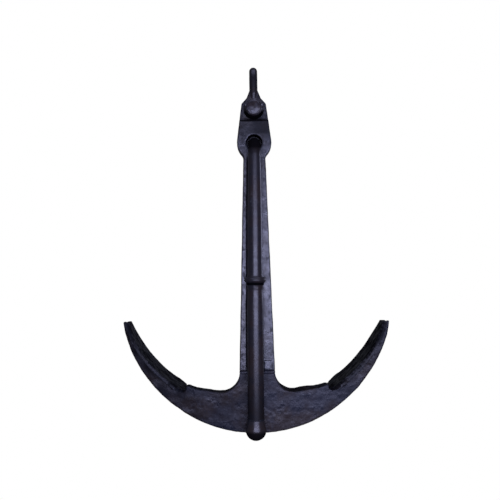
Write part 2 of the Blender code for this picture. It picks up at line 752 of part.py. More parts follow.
def shackle_bow(collection, cutters, material):
    mesh = tube_mesh("shackle_bow", bow_route(), BOW_RADIUS, resolution=6)
    bow = add_object("shackle_bow", mesh, collection, material)
    middle = (LUG_INNER + LUG_OUTER) / 2
    half = (LUG_OUTER - LUG_INNER) / 2
    for name, side in (("lug_front", -1), ("lug_rear", 1)):
        lug = plate_mesh(name, lug_outline(), half, side * middle)
        add_boolean(bow, add_cutter(name, lug, cutters), 'UNION')
    clear = box_mesh("jaw", (-30 * MM, -LUG_INNER, up(PIN_HEIGHT - 30 * MM)),
                     (30 * MM, LUG_INNER, up(PIN_HEIGHT + 30 * MM)))
    add_boolean(bow, add_cutter("jaw", clear, cutters))
    hole = rod_mesh("pin_hole", (0, 0, up(PIN_HEIGHT)), PIN_RADIUS + GAP, 4 * LUG_OUTER, 'Y')
    add_boolean(bow, add_cutter("pin_hole", hole, cutters))
    return bow


def shackle_pin(collection, cutters, material):
    """Headed pin turned about Y, head to the front, drilled for the split pin at the rear."""
    head_base = LUG_OUTER + GAP
    rim = 4 * MM
    top = head_base + PIN_HEAD_THICKNESS
    profile = [(0, top), (PIN_HEAD_RADIUS * 0.55, top - 0.6 * MM)]
    for step in range(5):
        angle = math.pi / 2 * (1 - step / 4)
        x = PIN_HEAD_RADIUS - rim + rim * math.cos(angle)
        profile.append((x, top - 1.2 * MM - rim + rim * math.sin(angle)))
    profile += [
        (PIN_HEAD_RADIUS, head_base),
        (PIN_RADIUS, head_base),
        (PIN_RADIUS, -PIN_END + 1.5 * MM),
        (PIN_RADIUS - 1.5 * MM, -PIN_END),
        (0, -PIN_END),
    ]
    facing_front = Matrix.Rotation(math.radians(90), 4, 'X')
    place = (0, 0, up(PIN_HEIGHT))
    pin = turned_object("shackle_pin", profile, collection, material, place, facing_front)
    hole = rod_mesh("split_hole", (0, SPLIT_Y, up(PIN_HEIGHT)), SPLIT_HOLE, 60 * MM, 'Z', sides=20)
    add_boolean(pin, add_cutter("split_hole", hole, cutters))
    return pin


def pin_washer(collection, material):
    bore = PIN_RADIUS + GAP
    profile = [
        (bore, WASHER_THICKNESS),
        (WASHER_RADIUS, WASHER_THICKNESS),
        (WASHER_RADIUS, 0),
        (bore, 0),
    ]
    facing_rear = Matrix.Rotation(math.radians(-90), 4, 'X')
    place = (0, LUG_OUTER + GAP, up(PIN_HEIGHT))
    return turned_object("pin_washer", profile, collection, material, place, facing_rear)


def split_pin(collection, material):
    """Wire folded into an eye above the pin, its two legs bent apart below."""
    offset = SPLIT_WIRE + 0.15 * MM
    top = PIN_HEIGHT + PIN_RADIUS + 2 * MM
    bottom = PIN_HEIGHT - PIN_RADIUS - 2.5 * MM
    eye = 3.6 * MM
    route = [
        (SPLIT_Y - offset - 2.6 * MM, bottom - 7.5 * MM),
        (SPLIT_Y - offset - 1.2 * MM, bottom - 3 * MM),
        (SPLIT_Y - offset, bottom + 1 * MM),
        (SPLIT_Y - offset, top),
    ]
    for step in range(11):
        angle = math.radians(235 - 290 * step / 10)
        route.append((SPLIT_Y + eye * math.cos(angle), top + 4.6 * MM + eye * math.sin(angle)))
    route += [
        (SPLIT_Y + offset, top),
        (SPLIT_Y + offset, bottom + 1 * MM),
        (SPLIT_Y + offset + 0.4 * MM, bottom - 2 * MM),
        (SPLIT_Y + offset + 2.6 * MM, bottom - 8 * MM),
    ]
    points = [((0, y, up(height)), 1) for y, height in route]
    mesh = tube_mesh("split_pin", points, SPLIT_WIRE, resolution=2)
    return add_object("split_pin", mesh, collection, material)


# ---------------------------------------------------------------- assembly

def add_pivot(name, place, collection):
    pivot = bpy.data.objects.new(name, None)
    pivot.location = place
    pivot.empty_display_size = 30 * MM
    collection.objects.link(pivot)
    bpy.context.view_layer.update()
    return pivot


def hang_on(pivot, pieces):
    """Parent pieces to a pivot and keep them where they are."""
    for piece in pieces:
        piece.parent = pivot
        piece.matrix_parent_inverse = pivot.matrix_world.inverted()


def build():
    clear_scene()
    parts = make_collection("stocked_anchor")
    cutters = make_collection("cutters")
    forged = make_material("forged_black_paint", PAINT, 0.55, 0.0)
    smooth = make_material("smooth_black_paint", PAINT, 0.35, 0.0)
    weld = make_material("painted_weld", PAINT_DARK, 0.6, 0.0)
    zinc = make_material("zinc_steel", STEEL, 0.45, 0.9)

    anchor = [shank(parts, cutters, forged), crown_arms(parts, forged), crown_weld(parts, weld)]
    for label, side in (("left", -1), ("right", 1)):
        anchor.append(palm("palm_" + label, side, parts, forged))
        for end, face in (("front", -1), ("rear", 1)):
            name = "palm_weld_" + label + "_" + end
            anchor.append(palm_weld(name, side, face, parts, weld))
    stock = [stock_rod(parts, cutters, smooth), stock_collar(parts, smooth), collar_weld(parts, weld)]
    stock += stock_balls(parts, smooth)
    stock += ball_welds(parts, weld)
    stock.append(stow_washer(parts, smooth))
    key = forelock_key(parts, cutters, zinc)
    shackle_bow(parts, cutters, smooth)
    shackle_pin(parts, cutters, smooth)
    pin_washer(parts, zinc)
    split_pin(parts, zinc)

    swing = add_pivot("shackle_swing_axis", (0, 0, up(PIN_HEIGHT)), parts)
    turn = add_pivot("stock_swing_axis", (0, 0, up(LEG_HEIGHT)), parts)
    slide = add_pivot("key_slide_axis", (0, KEY_Y, up(LEG_HEIGHT)), parts)
    hang_on(swing, anchor + [turn])
    slots = [cutters.objects[name] for name in ("stowing_slot", "working_slot", "lanyard_hole")]
    hang_on(turn, stock + slots + [slide])
    hang_on(slide, [key])
    turn.rotation_euler.y = STOWED_LEAN
    bpy.context.view_layer.update()


build()
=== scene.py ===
"""Looks for the stocked anchor: forged and painted surfaces, weld beads, studio light and camera."""
import math

import bmesh
import bpy
import numpy as np
from mathutils import Matrix, Vector, noise


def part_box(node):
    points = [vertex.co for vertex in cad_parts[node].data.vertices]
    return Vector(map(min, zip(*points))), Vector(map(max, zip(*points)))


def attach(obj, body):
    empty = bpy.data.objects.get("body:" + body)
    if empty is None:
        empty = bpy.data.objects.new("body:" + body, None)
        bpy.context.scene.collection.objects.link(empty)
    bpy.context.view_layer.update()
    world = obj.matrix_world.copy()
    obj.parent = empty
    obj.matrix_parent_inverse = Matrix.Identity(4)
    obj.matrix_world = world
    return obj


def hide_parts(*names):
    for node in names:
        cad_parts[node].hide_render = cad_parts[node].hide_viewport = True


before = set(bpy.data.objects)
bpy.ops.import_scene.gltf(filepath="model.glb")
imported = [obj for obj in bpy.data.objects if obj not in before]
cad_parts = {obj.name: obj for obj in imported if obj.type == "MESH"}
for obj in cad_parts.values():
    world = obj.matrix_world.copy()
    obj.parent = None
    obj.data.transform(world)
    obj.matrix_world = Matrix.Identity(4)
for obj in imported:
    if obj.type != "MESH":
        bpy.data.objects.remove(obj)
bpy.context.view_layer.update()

MM = 0.001

CROWN_LOW, CROWN_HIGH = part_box("crown_arms")
SHANK_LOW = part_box("shank")[0]
BALL_LOW, BALL_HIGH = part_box("stock_ball_lower")
REAR_BALL_LOW, REAR_BALL_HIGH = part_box("stock_ball_upper")
COLLAR_LOW, COLLAR_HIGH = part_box("stock_collar")
COLLAR_WELD_LOW, COLLAR_WELD_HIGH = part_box("collar_weld")
PIN_LOW, PIN_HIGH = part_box("shackle_pin")
WASHER_LOW, WASHER_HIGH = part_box("pin_washer")
STOW_LOW, STOW_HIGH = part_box("stow_washer")
KEY_LOW, KEY_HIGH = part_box("forelock_key")
FOOT_LOW, FOOT_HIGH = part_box("crown_weld")
SPLIT_LOW, SPLIT_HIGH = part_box("split_pin")
LOW_WELD_LOW, LOW_WELD_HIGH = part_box("ball_weld_lower")
REAR_WELD_LOW, REAR_WELD_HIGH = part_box("ball_weld_upper")

CROWN_Z = CROWN_LOW.z
DEPTH = CROWN_HIGH.y - CROWN_LOW.y
TANG_DEPTH = 26 * MM
TANG_FOOT = 628.2 * MM
EYE_RADIUS = 15.4 * MM
SEAT_RADIUS = 258.0 * MM
SEAT_CENTRE = 308.4 * MM
SEAT_ASIDE = 19.8 * MM
SHANK_TAPER_HEIGHTS = (122 * MM, 547 * MM)
SHANK_TAPER_HALVES = (35.7 * MM, 22.3 * MM)
STOCK_Y = (COLLAR_LOW.y + COLLAR_HIGH.y) / 2
BALL_RADIUS = (BALL_HIGH.x - BALL_LOW.x) / 2
BEAD_SIDES = 16
RIPPLE_STEPS = 8
LOWER_BALL_Z = BALL_LOW.z + BALL_RADIUS
REAR_BALL_Y = REAR_BALL_HIGH.y - BALL_RADIUS
LEG_Z = (REAR_BALL_LOW.z + REAR_BALL_HIGH.z) / 2
BAR_RADIUS = 16.2 * MM
LEG_RADIUS = 11.8 * MM
BEND_RADIUS = 22 * MM
COLLAR_NECK = 18.0 * MM
COLLAR_BORE = 14.6 * MM
SLOT_HEIGHT = 361 * MM
SLOT_HALF_LENGTH = 7.3 * MM
SLOT_HALF_WIDTH = 2.8 * MM
BAR_RADII = (
    (20 * MM, BAR_RADIUS - 1.2 * MM),
    (24 * MM, BAR_RADIUS),
    (255 * MM, BAR_RADIUS),
    (286 * MM, 15.1 * MM),
    (319 * MM, 15.1 * MM),
    (360 * MM, 14.9 * MM),
    (448 * MM, 14.2 * MM),
    (530 * MM, 12.8 * MM),
)
PIN_Z = (PIN_LOW.z + PIN_HIGH.z) / 2
PIN_RADIUS = 9 * MM
HEAD_RADIUS = (PIN_HIGH.x - PIN_LOW.x) / 2
HEAD_BASE = 26.8 * MM
LEAN = math.atan2(-(BALL_LOW.x + BALL_HIGH.x) / 2, LEG_Z - LOWER_BALL_Z)
LEAN_TURN = (Matrix.Translation((0, 0, LEG_Z)) @ Matrix.Rotation(LEAN, 4, 'Y')
             @ Matrix.Translation((0, 0, -LEG_Z)))
UPRIGHT = Matrix.Identity(4)
FACING_FRONT = Matrix.Rotation(math.radians(90), 4, 'X')
FACING_REAR = Matrix.Rotation(math.radians(-90), 4, 'X')


def up(height):
    """World Z of a height above the underside of the crown."""
    return CROWN_Z + height


# ---------------------------------------------------------------- mesh tools

def read_points(mesh):
    """Every vertex of a mesh, as rows of x, y and z."""
    points = np.empty(len(mesh.vertices) * 3, np.float32)
    mesh.vertices.foreach_get("co", points)
    return points.reshape(-1, 3).astype(np.float64)


def write_points(mesh, points):
    """Move a mesh's vertices to new places."""
    mesh.vertices.foreach_set("co", points.astype(np.float32).ravel())
    mesh.update()


def read_normals(mesh):
    """The outward direction at every vertex."""
    normals = np.empty(len(mesh.vertices) * 3, np.float32)
    mesh.vertex_normals.foreach_get("vector", normals)
    return normals.reshape(-1, 3).astype(np.float64)


def read_edges(mesh):
    """The two vertex numbers of every edge."""
    edges = np.empty(len(mesh.edges) * 2, np.int32)
    mesh.edges.foreach_get("vertices", edges)
    return edges.reshape(-1, 2)


def neighbour_mean(values, edges):
    """Mean of each point's neighbours, for an array of one or more columns."""
    count = len(values)
    degree = np.bincount(edges.ravel(), minlength=count)
    total = np.empty_like(values)
    for column in range(values.shape[1]):
        first = np.bincount(edges[:, 0], weights=values[edges[:, 1], column], minlength=count)
        second = np.bincount(edges[:, 1], weights=values[edges[:, 0], column], minlength=count)
        total[:, column] = first + second
    return total / np.maximum(degree, 1)[:, None]


def relax(mesh, rounds):
    """Even out a mesh without shrinking it."""
    pull = 0.5
    push = -0.52
    points = read_points(mesh)
    edges = read_edges(mesh)
    for _ in range(rounds):
        points += pull * (neighbour_mean(points, edges) - points)
        points += push * (neighbour_mean(points, edges) - points)
    write_points(mesh, points)


def soften(mesh, rounds):
    """Round the edges of a mesh by plain averaging."""
    points = read_points(mesh)
    edges = read_edges(mesh)
    for _ in range(rounds):
        points += 0.5 * (neighbour_mean(points, edges) - points)
    write_points(mesh, points)


def noise_field(points, size, seed):
    """Smooth noise from -1 to 1 at each point, for lumps of a given size."""
    shift = Vector((seed * 3.17, seed * 1.71, seed * 2.43))
    values = np.empty(len(points))
    scale = 1 / size
    for index, point in enumerate(points):
        values[index] = noise.noise(Vector(point) * scale + shift)
    return values


def waves(points, layers, name):
    """Noise of several (size, height) layers, different for each piece."""
    offsets = np.zeros(len(points))
    for seed, (size, height) in enumerate(layers):
        offsets += height * noise_field(points, size, seed + len(name))
    return offsets


PIT_SHARPNESS = 1.9


def pit_field(points, size, seed):
    """Shallow round dents: 1 at the middle of a dent and 0 between them."""
    shift = Vector((seed * 1.37, seed * 2.91, seed * 0.77))
    values = np.empty(len(points))
    for index, point in enumerate(points):
        distances, _ = noise.voronoi(Vector(point) / size + shift)
        values[index] = max(0.0, 1 - distances[0] * PIT_SHARPNESS)
    return values


def save_attribute(mesh, name, values):
    """Store one number at each vertex, for the material to read."""
    attribute = mesh.attributes.new(name, 'FLOAT', 'POINT')
    attribute.data.foreach_set("value", values.astype(np.float32))


def mark_wear(mesh):
    """Store how sharply convex each point is, where paint wears first."""
    low = 0.35
    high = 1.0
    points = read_points(mesh)
    edges = read_edges(mesh)
    normals = read_normals(mesh)
    length = np.linalg.norm(points[edges[:, 0]] - points[edges[:, 1]], axis=1).mean()
    bend = -((neighbour_mean(points, edges) - points) * normals).sum(axis=1) / length
    bend = bend[:, None]
    for _ in range(3):
        bend = 0.5 * bend + 0.5 * neighbour_mean(bend, edges)
    wear = np.clip((bend[:, 0] * 10 - low) / (high - low), 0, 1)
    save_attribute(mesh, "wear", wear)


def push_out(mesh, offsets):
    """Move each vertex outwards by its own distance."""
    write_points(mesh, read_points(mesh) + read_normals(mesh) * offsets[:, None])


def add_piece(name, mesh, material, node, body, sharp=None, turn=None):
    """Put a finished mesh in the scene, in place of a CAD node and riding on a body."""
    if turn:
        mesh.transform(turn)
    piece = bpy.data.objects.new(name, mesh)
    bpy.context.scene.collection.objects.link(piece)
    mesh.materials.clear()
    mesh.materials.append(material)
    mesh.shade_smooth()
    if sharp:
        mesh.set_sharp_from_angle(angle=math.radians(sharp))
    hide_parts(node)
    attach(piece, body)


def remeshed_node(node, voxel):
    """The CAD node's shape again as an even, fine mesh."""
    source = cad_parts[node]
    source = bpy.data.objects[source] if isinstance(source, str) else source
    copy = bpy.data.objects.new("work", source.data.copy())
    bpy.context.scene.collection.objects.link(copy)
    modifier = copy.modifiers.new("Remesh", 'REMESH')
    modifier.mode = 'VOXEL'
    modifier.voxel_size = voxel
    modifier.adaptivity = 0
    bpy.context.view_layer.update()
    graph = bpy.context.evaluated_depsgraph_get()
    mesh = bpy.data.meshes.new_from_object(copy.evaluated_get(graph))
    bpy.data.objects.remove(copy, do_unlink=True)
    return mesh


def mesh_from_grid(name, rings, closed_ends=True):
    """Skin between closed rings of points; the ends are closed by fans."""
    points = np.array(rings, float)
    count, sides, _ = points.shape
    verts = points.reshape(-1, 3).tolist()
    faces = []
    for row in range(count - 1):
        for side in range(sides):
            following = (side + 1) % sides
            base = row * sides
            faces.append((base + side, base + following, base + sides + following, base + sides + side))
    if closed_ends:
        for row, flip in ((0, True), (count - 1, False)):
            verts.append(points[row].mean(axis=0).tolist())
            centre = len(verts) - 1
            for side in range(sides):
                pair = (row * sides + side, row * sides + (side + 1) % sides)
                pair = pair[::-1] if flip else pair
                faces.append((pair[0], pair[1], centre))
    mesh = bpy.data.meshes.new(name)
    mesh.from_pydata(verts, [], faces)
    bm = bmesh.new()
    bm.from_mesh(mesh)
    bmesh.ops.recalc_face_normals(bm, faces=bm.faces)
    bm.to_mesh(mesh)
    bm.free()
    return mesh


def ring_mesh(name, rings):
    """Skin through rings of points that lead back round to the first ring."""
    mesh = mesh_from_grid(name, rings + [rings[0]], closed_ends=False)
    bm = bmesh.new()
    bm.from_mesh(mesh)
    bmesh.ops.remove_doubles(bm, verts=bm.verts, dist=0.001 * MM)
    bmesh.ops.recalc_face_normals(bm, faces=bm.faces)
    bm.to_mesh(mesh)
    bm.free()
    return mesh


def resample(route, step):
    """Points along a polyline at an even step, as rows of however many columns it has."""
    route = np.array(route, float)
    lengths = np.linalg.norm(np.diff(route[:, :2], axis=0), axis=1)
    run = np.concatenate([[0], np.cumsum(lengths)])
    count = max(2, int(round(run[-1] / step)) + 1)
    stops = np.unique(np.concatenate([np.linspace(0, run[-1], count), run]))
    return np.stack([np.interp(stops, run, route[:, column]) for column in range(route.shape[1])], axis=1)


def lathe_mesh(name, profile, place, turn, sides=96):
    """A solid turned about Z from (radius, along) points: a line from axis to axis, or a closed section."""
    nearly_zero = 1e-6
    on_axis = profile[0][0] < nearly_zero
    rings = []
    for radius, along in resample(profile, 0.8 * MM):
        if on_axis and radius < nearly_zero:
            continue
        ring = []
        for side in range(sides):
            angle = 2 * math.pi * side / sides
            ring.append((radius * math.cos(angle), radius * math.sin(angle), along))
        rings.append(ring)
    mesh = mesh_from_grid(name, rings) if on_axis else ring_mesh(name, rings)
    mesh.transform(Matrix.Translation(place) @ turn)
    return mesh


def tube_along(name, points, radii, sides, ripple=None):
    """A round bar along points; ripple(index, angle) scales the radius."""
    points = [Vector(point) for point in points]
    rings = []
    reference = None
    for index, point in enumerate(points):
        ahead = points[min(index + 1, len(points) - 1)]
        behind = points[max(index - 1, 0)]
        forward = (ahead - behind).normalized()
        if reference is None:
            reference = forward.orthogonal().normalized()
        across = (reference - forward * reference.dot(forward)).normalized()
        reference = across
        other = forward.cross(across)
        ring = []
        for side in range(sides):
            angle = 2 * math.pi * side / sides
            radius = radii[index] * (ripple(index, angle) if ripple else 1)
            ring.append(point + (across * math.cos(angle) + other * math.sin(angle)) * radius)
        rings.append([tuple(corner) for corner in ring])
    return mesh_from_grid(name, rings)


# ---------------------------------------------------------------- materials

def node_maker(material):
    """Functions that make a node in a material and link two sockets."""
    tree = material.node_tree

    def make(kind, **settings):
        node = tree.nodes.new(kind)
        for key, value in settings.items():
            setattr(node, key, value)
        return node
    return make, tree.links.new


def grey_ramp(make, link, low, high, factor):
    """A ramp between two (position, brightness) stops."""
    node = make("ShaderNodeValToRGB")
    for element, (position, grey) in zip(node.color_ramp.elements, (low, high)):
        element.position = position
        element.color = (grey, grey, grey, 1)
    link(factor, node.inputs["Fac"])
    return node.outputs["Color"]


def noise_node(make, link, coordinates, size, detail=4.0, roughness=0.55):
    """Noise with spots of about the given size."""
    node = make("ShaderNodeTexNoise")
    node.inputs["Scale"].default_value = 1 / size
    node.inputs["Detail"].default_value = detail
    node.inputs["Roughness"].default_value = roughness
    link(coordinates, node.inputs["Vector"])
    return node.outputs["Fac"]


def mix_colour(make, link, factor, first, second):
    """One colour turning into another as the factor goes from 0 to 1."""
    node = make("ShaderNodeMix", data_type='RGBA')
    for source, socket in ((factor, node.inputs[0]), (first, node.inputs[6]), (second, node.inputs[7])):
        if isinstance(source, (int, float)):
            socket.default_value = source
        elif isinstance(source, tuple):
            socket.default_value = (*source, 1)
        else:
            link(source, socket)
    return node.outputs[2]


def math_node(make, link, operation, first, second, clamp=False):
    """Arithmetic on two sockets or numbers."""
    node = make("ShaderNodeMath", operation=operation, use_clamp=clamp)
    for source, socket in ((first, node.inputs[0]), (second, node.inputs[1])):
        if isinstance(source, (int, float)):
            socket.default_value = source
        else:
            link(source, socket)
    return node.outputs[0]


def bump_node(make, link, strength, distance, height):
    """Small relief that only shades the surface."""
    node = make("ShaderNodeBump")
    node.inputs["Strength"].default_value = strength
    node.inputs["Distance"].default_value = distance
    link(height, node.inputs["Height"])
    return node


WORN_COLOUR = (0.13, 0.13, 0.15)
# Near-black colour and high roughness for the mark that paints shade, and a little soiling, into hollows,
# creases and undersides.
SHADE_AND_DIRT_COLOUR = (0.0035, 0.0033, 0.0038)
SHADE_AND_DIRT_ROUGHNESS = 0.92
DENT_SIZE = 17 * MM


def paint_material(name, cool, warm, pale, rough, rough_spread, patch, grain, bump, wear_share,
                   gloss=0.5, dents=0.0, seed=0.0):
    """Old black paint: cool and warm blotches, a pale bloom, worn edges, soft dents and a fine grain, turned
    near black and dull by a stored mark of painted shade and some soiling.
    """
    material = bpy.data.materials.new(name)
    material.use_nodes = True
    make, link = node_maker(material)
    shader = material.node_tree.nodes["Principled BSDF"]
    shifted = make("ShaderNodeVectorMath", operation='ADD')
    link(make("ShaderNodeTexCoord").outputs["Object"], shifted.inputs[0])
    shifted.inputs[1].default_value = (seed, seed * 0.7, seed * 1.3)
    place = shifted.outputs[0]

    blotch = noise_node(make, link, place, patch, 5.0, 0.6)
    blotch = grey_ramp(make, link, (0.42, 0), (0.58, 1), blotch)
    colour = mix_colour(make, link, blotch, cool, warm)
    bloom = noise_node(make, link, place, patch * 0.3, 6.0, 0.65)
    bloom = grey_ramp(make, link, (0.48, 0), (0.74, 1), bloom)
    colour = mix_colour(make, link, bloom, colour, pale)

    wear = make("ShaderNodeAttribute", attribute_name="wear").outputs["Fac"]
    chips = noise_node(make, link, place, grain * 2.2, 5.0, 0.7)
    chips = grey_ramp(make, link, (0.46, 0), (0.60, 1), chips)
    worn = math_node(make, link, 'MULTIPLY', wear, chips)
    worn = math_node(make, link, 'MULTIPLY', worn, wear_share, clamp=True)
    tone = make("ShaderNodeAttribute", attribute_name="tone").outputs["Fac"]
    worn = math_node(make, link, 'MAXIMUM', worn, tone)
    colour = mix_colour(make, link, worn, colour, WORN_COLOUR)
    # The stored mark paints shade: colour near black, less specular and duller where shade falls, with a
    # little soiling.
    shade_and_dirt = make("ShaderNodeAttribute", attribute_name="shade_and_dirt").outputs["Fac"]
    link(mix_colour(make, link, shade_and_dirt, colour, SHADE_AND_DIRT_COLOUR), shader.inputs["Base Color"])
    clear_of_shade_and_dirt = math_node(make, link, 'SUBTRACT', 1.0, shade_and_dirt, clamp=True)
    link(math_node(make, link, 'MULTIPLY', clear_of_shade_and_dirt, gloss), shader.inputs["Specular IOR Level"])

    spread = make("ShaderNodeMapRange")
    spread.inputs["From Min"].default_value = 0.35
    spread.inputs["From Max"].default_value = 0.65
    spread.inputs["To Min"].default_value = rough - rough_spread
    spread.inputs["To Max"].default_value = rough + rough_spread
    link(noise_node(make, link, place, patch * 0.25, 5.0, 0.6), spread.inputs["Value"])
    dull = math_node(make, link, 'MULTIPLY', shade_and_dirt, SHADE_AND_DIRT_ROUGHNESS)
    link(math_node(make, link, 'MAXIMUM', spread.outputs[0], dull), shader.inputs["Roughness"])

    normal = bump_node(make, link, bump, grain * 0.35, noise_node(make, link, place, grain, 4.0, 0.6))
    if dents:
        fine = normal
        normal = bump_node(make, link, 1.0, dents, noise_node(make, link, place, DENT_SIZE, 2.0, 0.5))
        link(fine.outputs["Normal"], normal.inputs["Normal"])
    link(normal.outputs["Normal"], shader.inputs["Normal"])
    return material


def steel_material(name, colour, rough):
    """Dull galvanised steel with paint smears."""
    material = bpy.data.materials.new(name)
    material.use_nodes = True
    make, link = node_maker(material)
    shader = material.node_tree.nodes["Principled BSDF"]
    place = make("ShaderNodeTexCoord").outputs["Object"]
    smear = noise_node(make, link, place, 9 * MM, 5.0, 0.65)
    smear = grey_ramp(make, link, (0.45, 0), (0.58, 1), smear)
    dark = tuple(channel * 0.22 for channel in colour)
    link(mix_colour(make, link, smear, colour, dark), shader.inputs["Base Color"])
    link(grey_ramp(make, link, (0.0, 0.9), (1.0, 0.15), smear), shader.inputs["Metallic"])
    spread = make("ShaderNodeMapRange")
    spread.inputs["To Min"].default_value = rough - 0.12
    spread.inputs["To Max"].default_value = rough + 0.15
    link(noise_node(make, link, place, 3 * MM), spread.inputs["Value"])
    link(spread.outputs[0], shader.inputs["Roughness"])
    grain = bump_node(make, link, 0.25, 0.4 * MM, noise_node(make, link, place, 1.2 * MM))
    link(grain.outputs["Normal"], shader.inputs["Normal"])
    return material


FORGED = paint_material("forged_black_paint", cool=(0.012, 0.013, 0.021), warm=(0.019, 0.013, 0.013),
                        pale=(0.026, 0.027, 0.040), rough=0.32, rough_spread=0.08, patch=60 * MM,
                        grain=3.0 * MM, bump=0.22, wear_share=0.35, gloss=0.62)
CROWN_PAINT = paint_material("crown_black_paint", cool=(0.012, 0.014, 0.027), warm=(0.022, 0.012, 0.011),
                             pale=(0.024, 0.024, 0.037), rough=0.43, rough_spread=0.12, patch=70 * MM,
                             grain=4.0 * MM, bump=0.25, wear_share=0.3, gloss=0.34, dents=1.4 * MM, seed=0.31)
# A darker copy of the black paint for the palms: painted shade.
PALM_SHADED_PAINT = paint_material("palm_shaded_black_paint", cool=(0.008, 0.009, 0.014), warm=(0.010, 0.007, 0.007),
                            pale=(0.014, 0.015, 0.022), rough=0.44, rough_spread=0.08, patch=50 * MM,
                            grain=3.0 * MM, bump=0.3, wear_share=0.6, gloss=0.35, seed=0.57)
SMOOTH = paint_material("smooth_black_paint", cool=(0.016, 0.015, 0.021), warm=(0.026, 0.017, 0.017),
                        pale=(0.022, 0.020, 0.024), rough=0.32, rough_spread=0.05, patch=40 * MM,
                        grain=1.8 * MM, bump=0.12, wear_share=0.25, seed=0.83)
WELD_PAINT = paint_material("weld_black_paint", cool=(0.006, 0.007, 0.011), warm=(0.009, 0.006, 0.006),
                            pale=(0.012, 0.012, 0.018), rough=0.48, rough_spread=0.08, patch=20 * MM,
                            grain=1.4 * MM, bump=0.35, wear_share=0.15, gloss=0.25, seed=1.21)
STEEL = steel_material("dull_galvanised_steel", (0.22, 0.22, 0.24), 0.45)


# ---------------------------------------------------------------- forged pieces

def forging(node, name, material, body, voxel, rounds, layers, pits=None, tone=None, shade_and_dirt=None,
            shape=None):
    """A CAD node as a rough forging: rounded edges, hammered waves and shallow pits."""
    mesh = remeshed_node(node, voxel)
    relax(mesh, 3)
    soften(mesh, rounds)
    if shape:
        write_points(mesh, shape(read_points(mesh)))
    points = read_points(mesh)
    offsets = waves(points, layers, name)
    if pits:
        size, depth = pits
        offsets -= depth * pit_field(points, size, len(name))
    push_out(mesh, offsets)
    mark_wear(mesh)
    if tone:
        save_attribute(mesh, "tone", tone(read_points(mesh), read_normals(mesh)))
    # Store the mark of painted shade and soiling, which the paint turns near black and dull.
    if shade_and_dirt:
        save_attribute(mesh, "shade_and_dirt", np.clip(shade_and_dirt(read_points(mesh)), 0, 1))
    add_piece(name, mesh, material, node, body)


def within(values, low, high, edge):
    """1 between two limits, falling to 0 over an edge width outside them."""
    return np.clip((values - low) / edge + 1, 0, 1) * np.clip((high - values) / edge + 1, 0, 1)


def step_line(points):
    """How far each point is inside the narrow groove under the step of the shank's head."""
    on_face = np.abs(points[:, 1]) > TANG_DEPTH / 2 + 1.5 * MM
    return on_face * within(points[:, 2], up(TANG_FOOT - 2.6 * MM), up(TANG_FOOT + 1.0 * MM), 0.8 * MM)


def shank_shape(points):
    """Sink the groove under the head's step."""
    groove_depth = 1.1 * MM
    points = points.copy()
    points[:, 1] -= np.sign(points[:, 1]) * step_line(points) * groove_depth
    return points


def shank_shade_and_dirt(points):
    """Painted shade in the eye, in the groove at the head's step and on the face below it, and a painted
    shadow of the stock down the shank beside and behind it; dark flecks along the edges.
    """
    # Painted shade inside the eye.
    from_eye = np.hypot(points[:, 0], points[:, 2] - LEG_Z - 3 * MM)
    in_eye = within(from_eye, 0, EYE_RADIUS + 0.2 * MM, 0.8 * MM)
    aside = points[:, 0] + math.tan(LEAN) * (LEG_Z - points[:, 2])
    front = points[:, 1] < -DEPTH / 4
    heights, radii = np.array(BAR_RADII).T
    bar = np.interp(points[:, 2] - CROWN_Z, heights, radii)
    below_eye = np.clip((LEG_Z - 10 * MM - points[:, 2]) / (25 * MM), 0, 1)
    # Painted shadow of the stock bar: a dark line along its left side and mottled shade behind it.
    beside = 0.85 * within(aside, -bar - 2.6 * MM, -bar + 0.6 * MM, 1.4 * MM)
    mottle = np.clip(0.5 + noise_field(points * (1, 1, 0.4), 9 * MM, 43), 0, 1)
    behind = 0.42 * mottle * within(aside, -bar, bar - 8 * MM, 6 * MM)
    crease = front * below_eye * np.maximum(beside, behind)
    # Painted shade on the face under the head, darker to the right.
    to_right = np.clip((points[:, 0] + 12 * MM) / (16 * MM), 0, 1)
    under_head = within(points[:, 2], up(602 * MM), up(626 * MM), 14 * MM)
    below_step = (0.4 + 0.2 * to_right) * front * under_head
    edge = np.interp(points[:, 2] - CROWN_Z, SHANK_TAPER_HEIGHTS, SHANK_TAPER_HALVES)
    near_edge = within(np.abs(points[:, 0]), edge - 7 * MM, edge + 2 * MM, 4 * MM)
    flecks = 0.45 * near_edge * np.clip((noise_field(points * (1, 1, 0.6), 5 * MM, 41) - 0.22) * 5, 0, 1)
    # Eye, stock line, step groove and under-head face are painted shade; only the edge flecks are soiling.
    painted_shade = np.maximum(np.maximum(in_eye, crease), np.maximum(step_line(points), below_step))
    return np.maximum(painted_shade, flecks)


def crown_shape(points):
    """Raise the arms' tops into the palms' feet, and the rear edge of the right arm a little."""
    points = points.copy()
    aside = np.abs(points[:, 0])
    high = np.clip((points[:, 2] - up(70 * MM)) / (22 * MM), 0, 1)
    foot = within(aside, 136 * MM, 150 * MM, 18 * MM) ** 2
    rear = np.clip((points[:, 1] + 6 * MM) / (20 * MM), 0, 1)
    proud = rear * within(points[:, 0], 85 * MM, 130 * MM, 22 * MM)
    near_throat = rear * within(points[:, 0], 58 * MM, 84 * MM, 28 * MM)
    raised_foot = foot * np.where(points[:, 0] < 0, 3.4 * MM, 2.6 * MM)
    points[:, 2] += high * (raised_foot + 2.8 * MM * proud + 3.4 * MM * near_throat)
    return bill_shape(points)


def from_seat(points):
    """How far each point is from the centre that the palms curve round."""
    return np.hypot(np.abs(points[:, 0]) - SEAT_ASIDE, up(SEAT_CENTRE) - points[:, 2])


def seat_angle(points):
    """How far each point has turned outwards about that centre, from straight below it."""
    return np.arctan2(np.abs(points[:, 0]) - SEAT_ASIDE, up(SEAT_CENTRE) - points[:, 2])


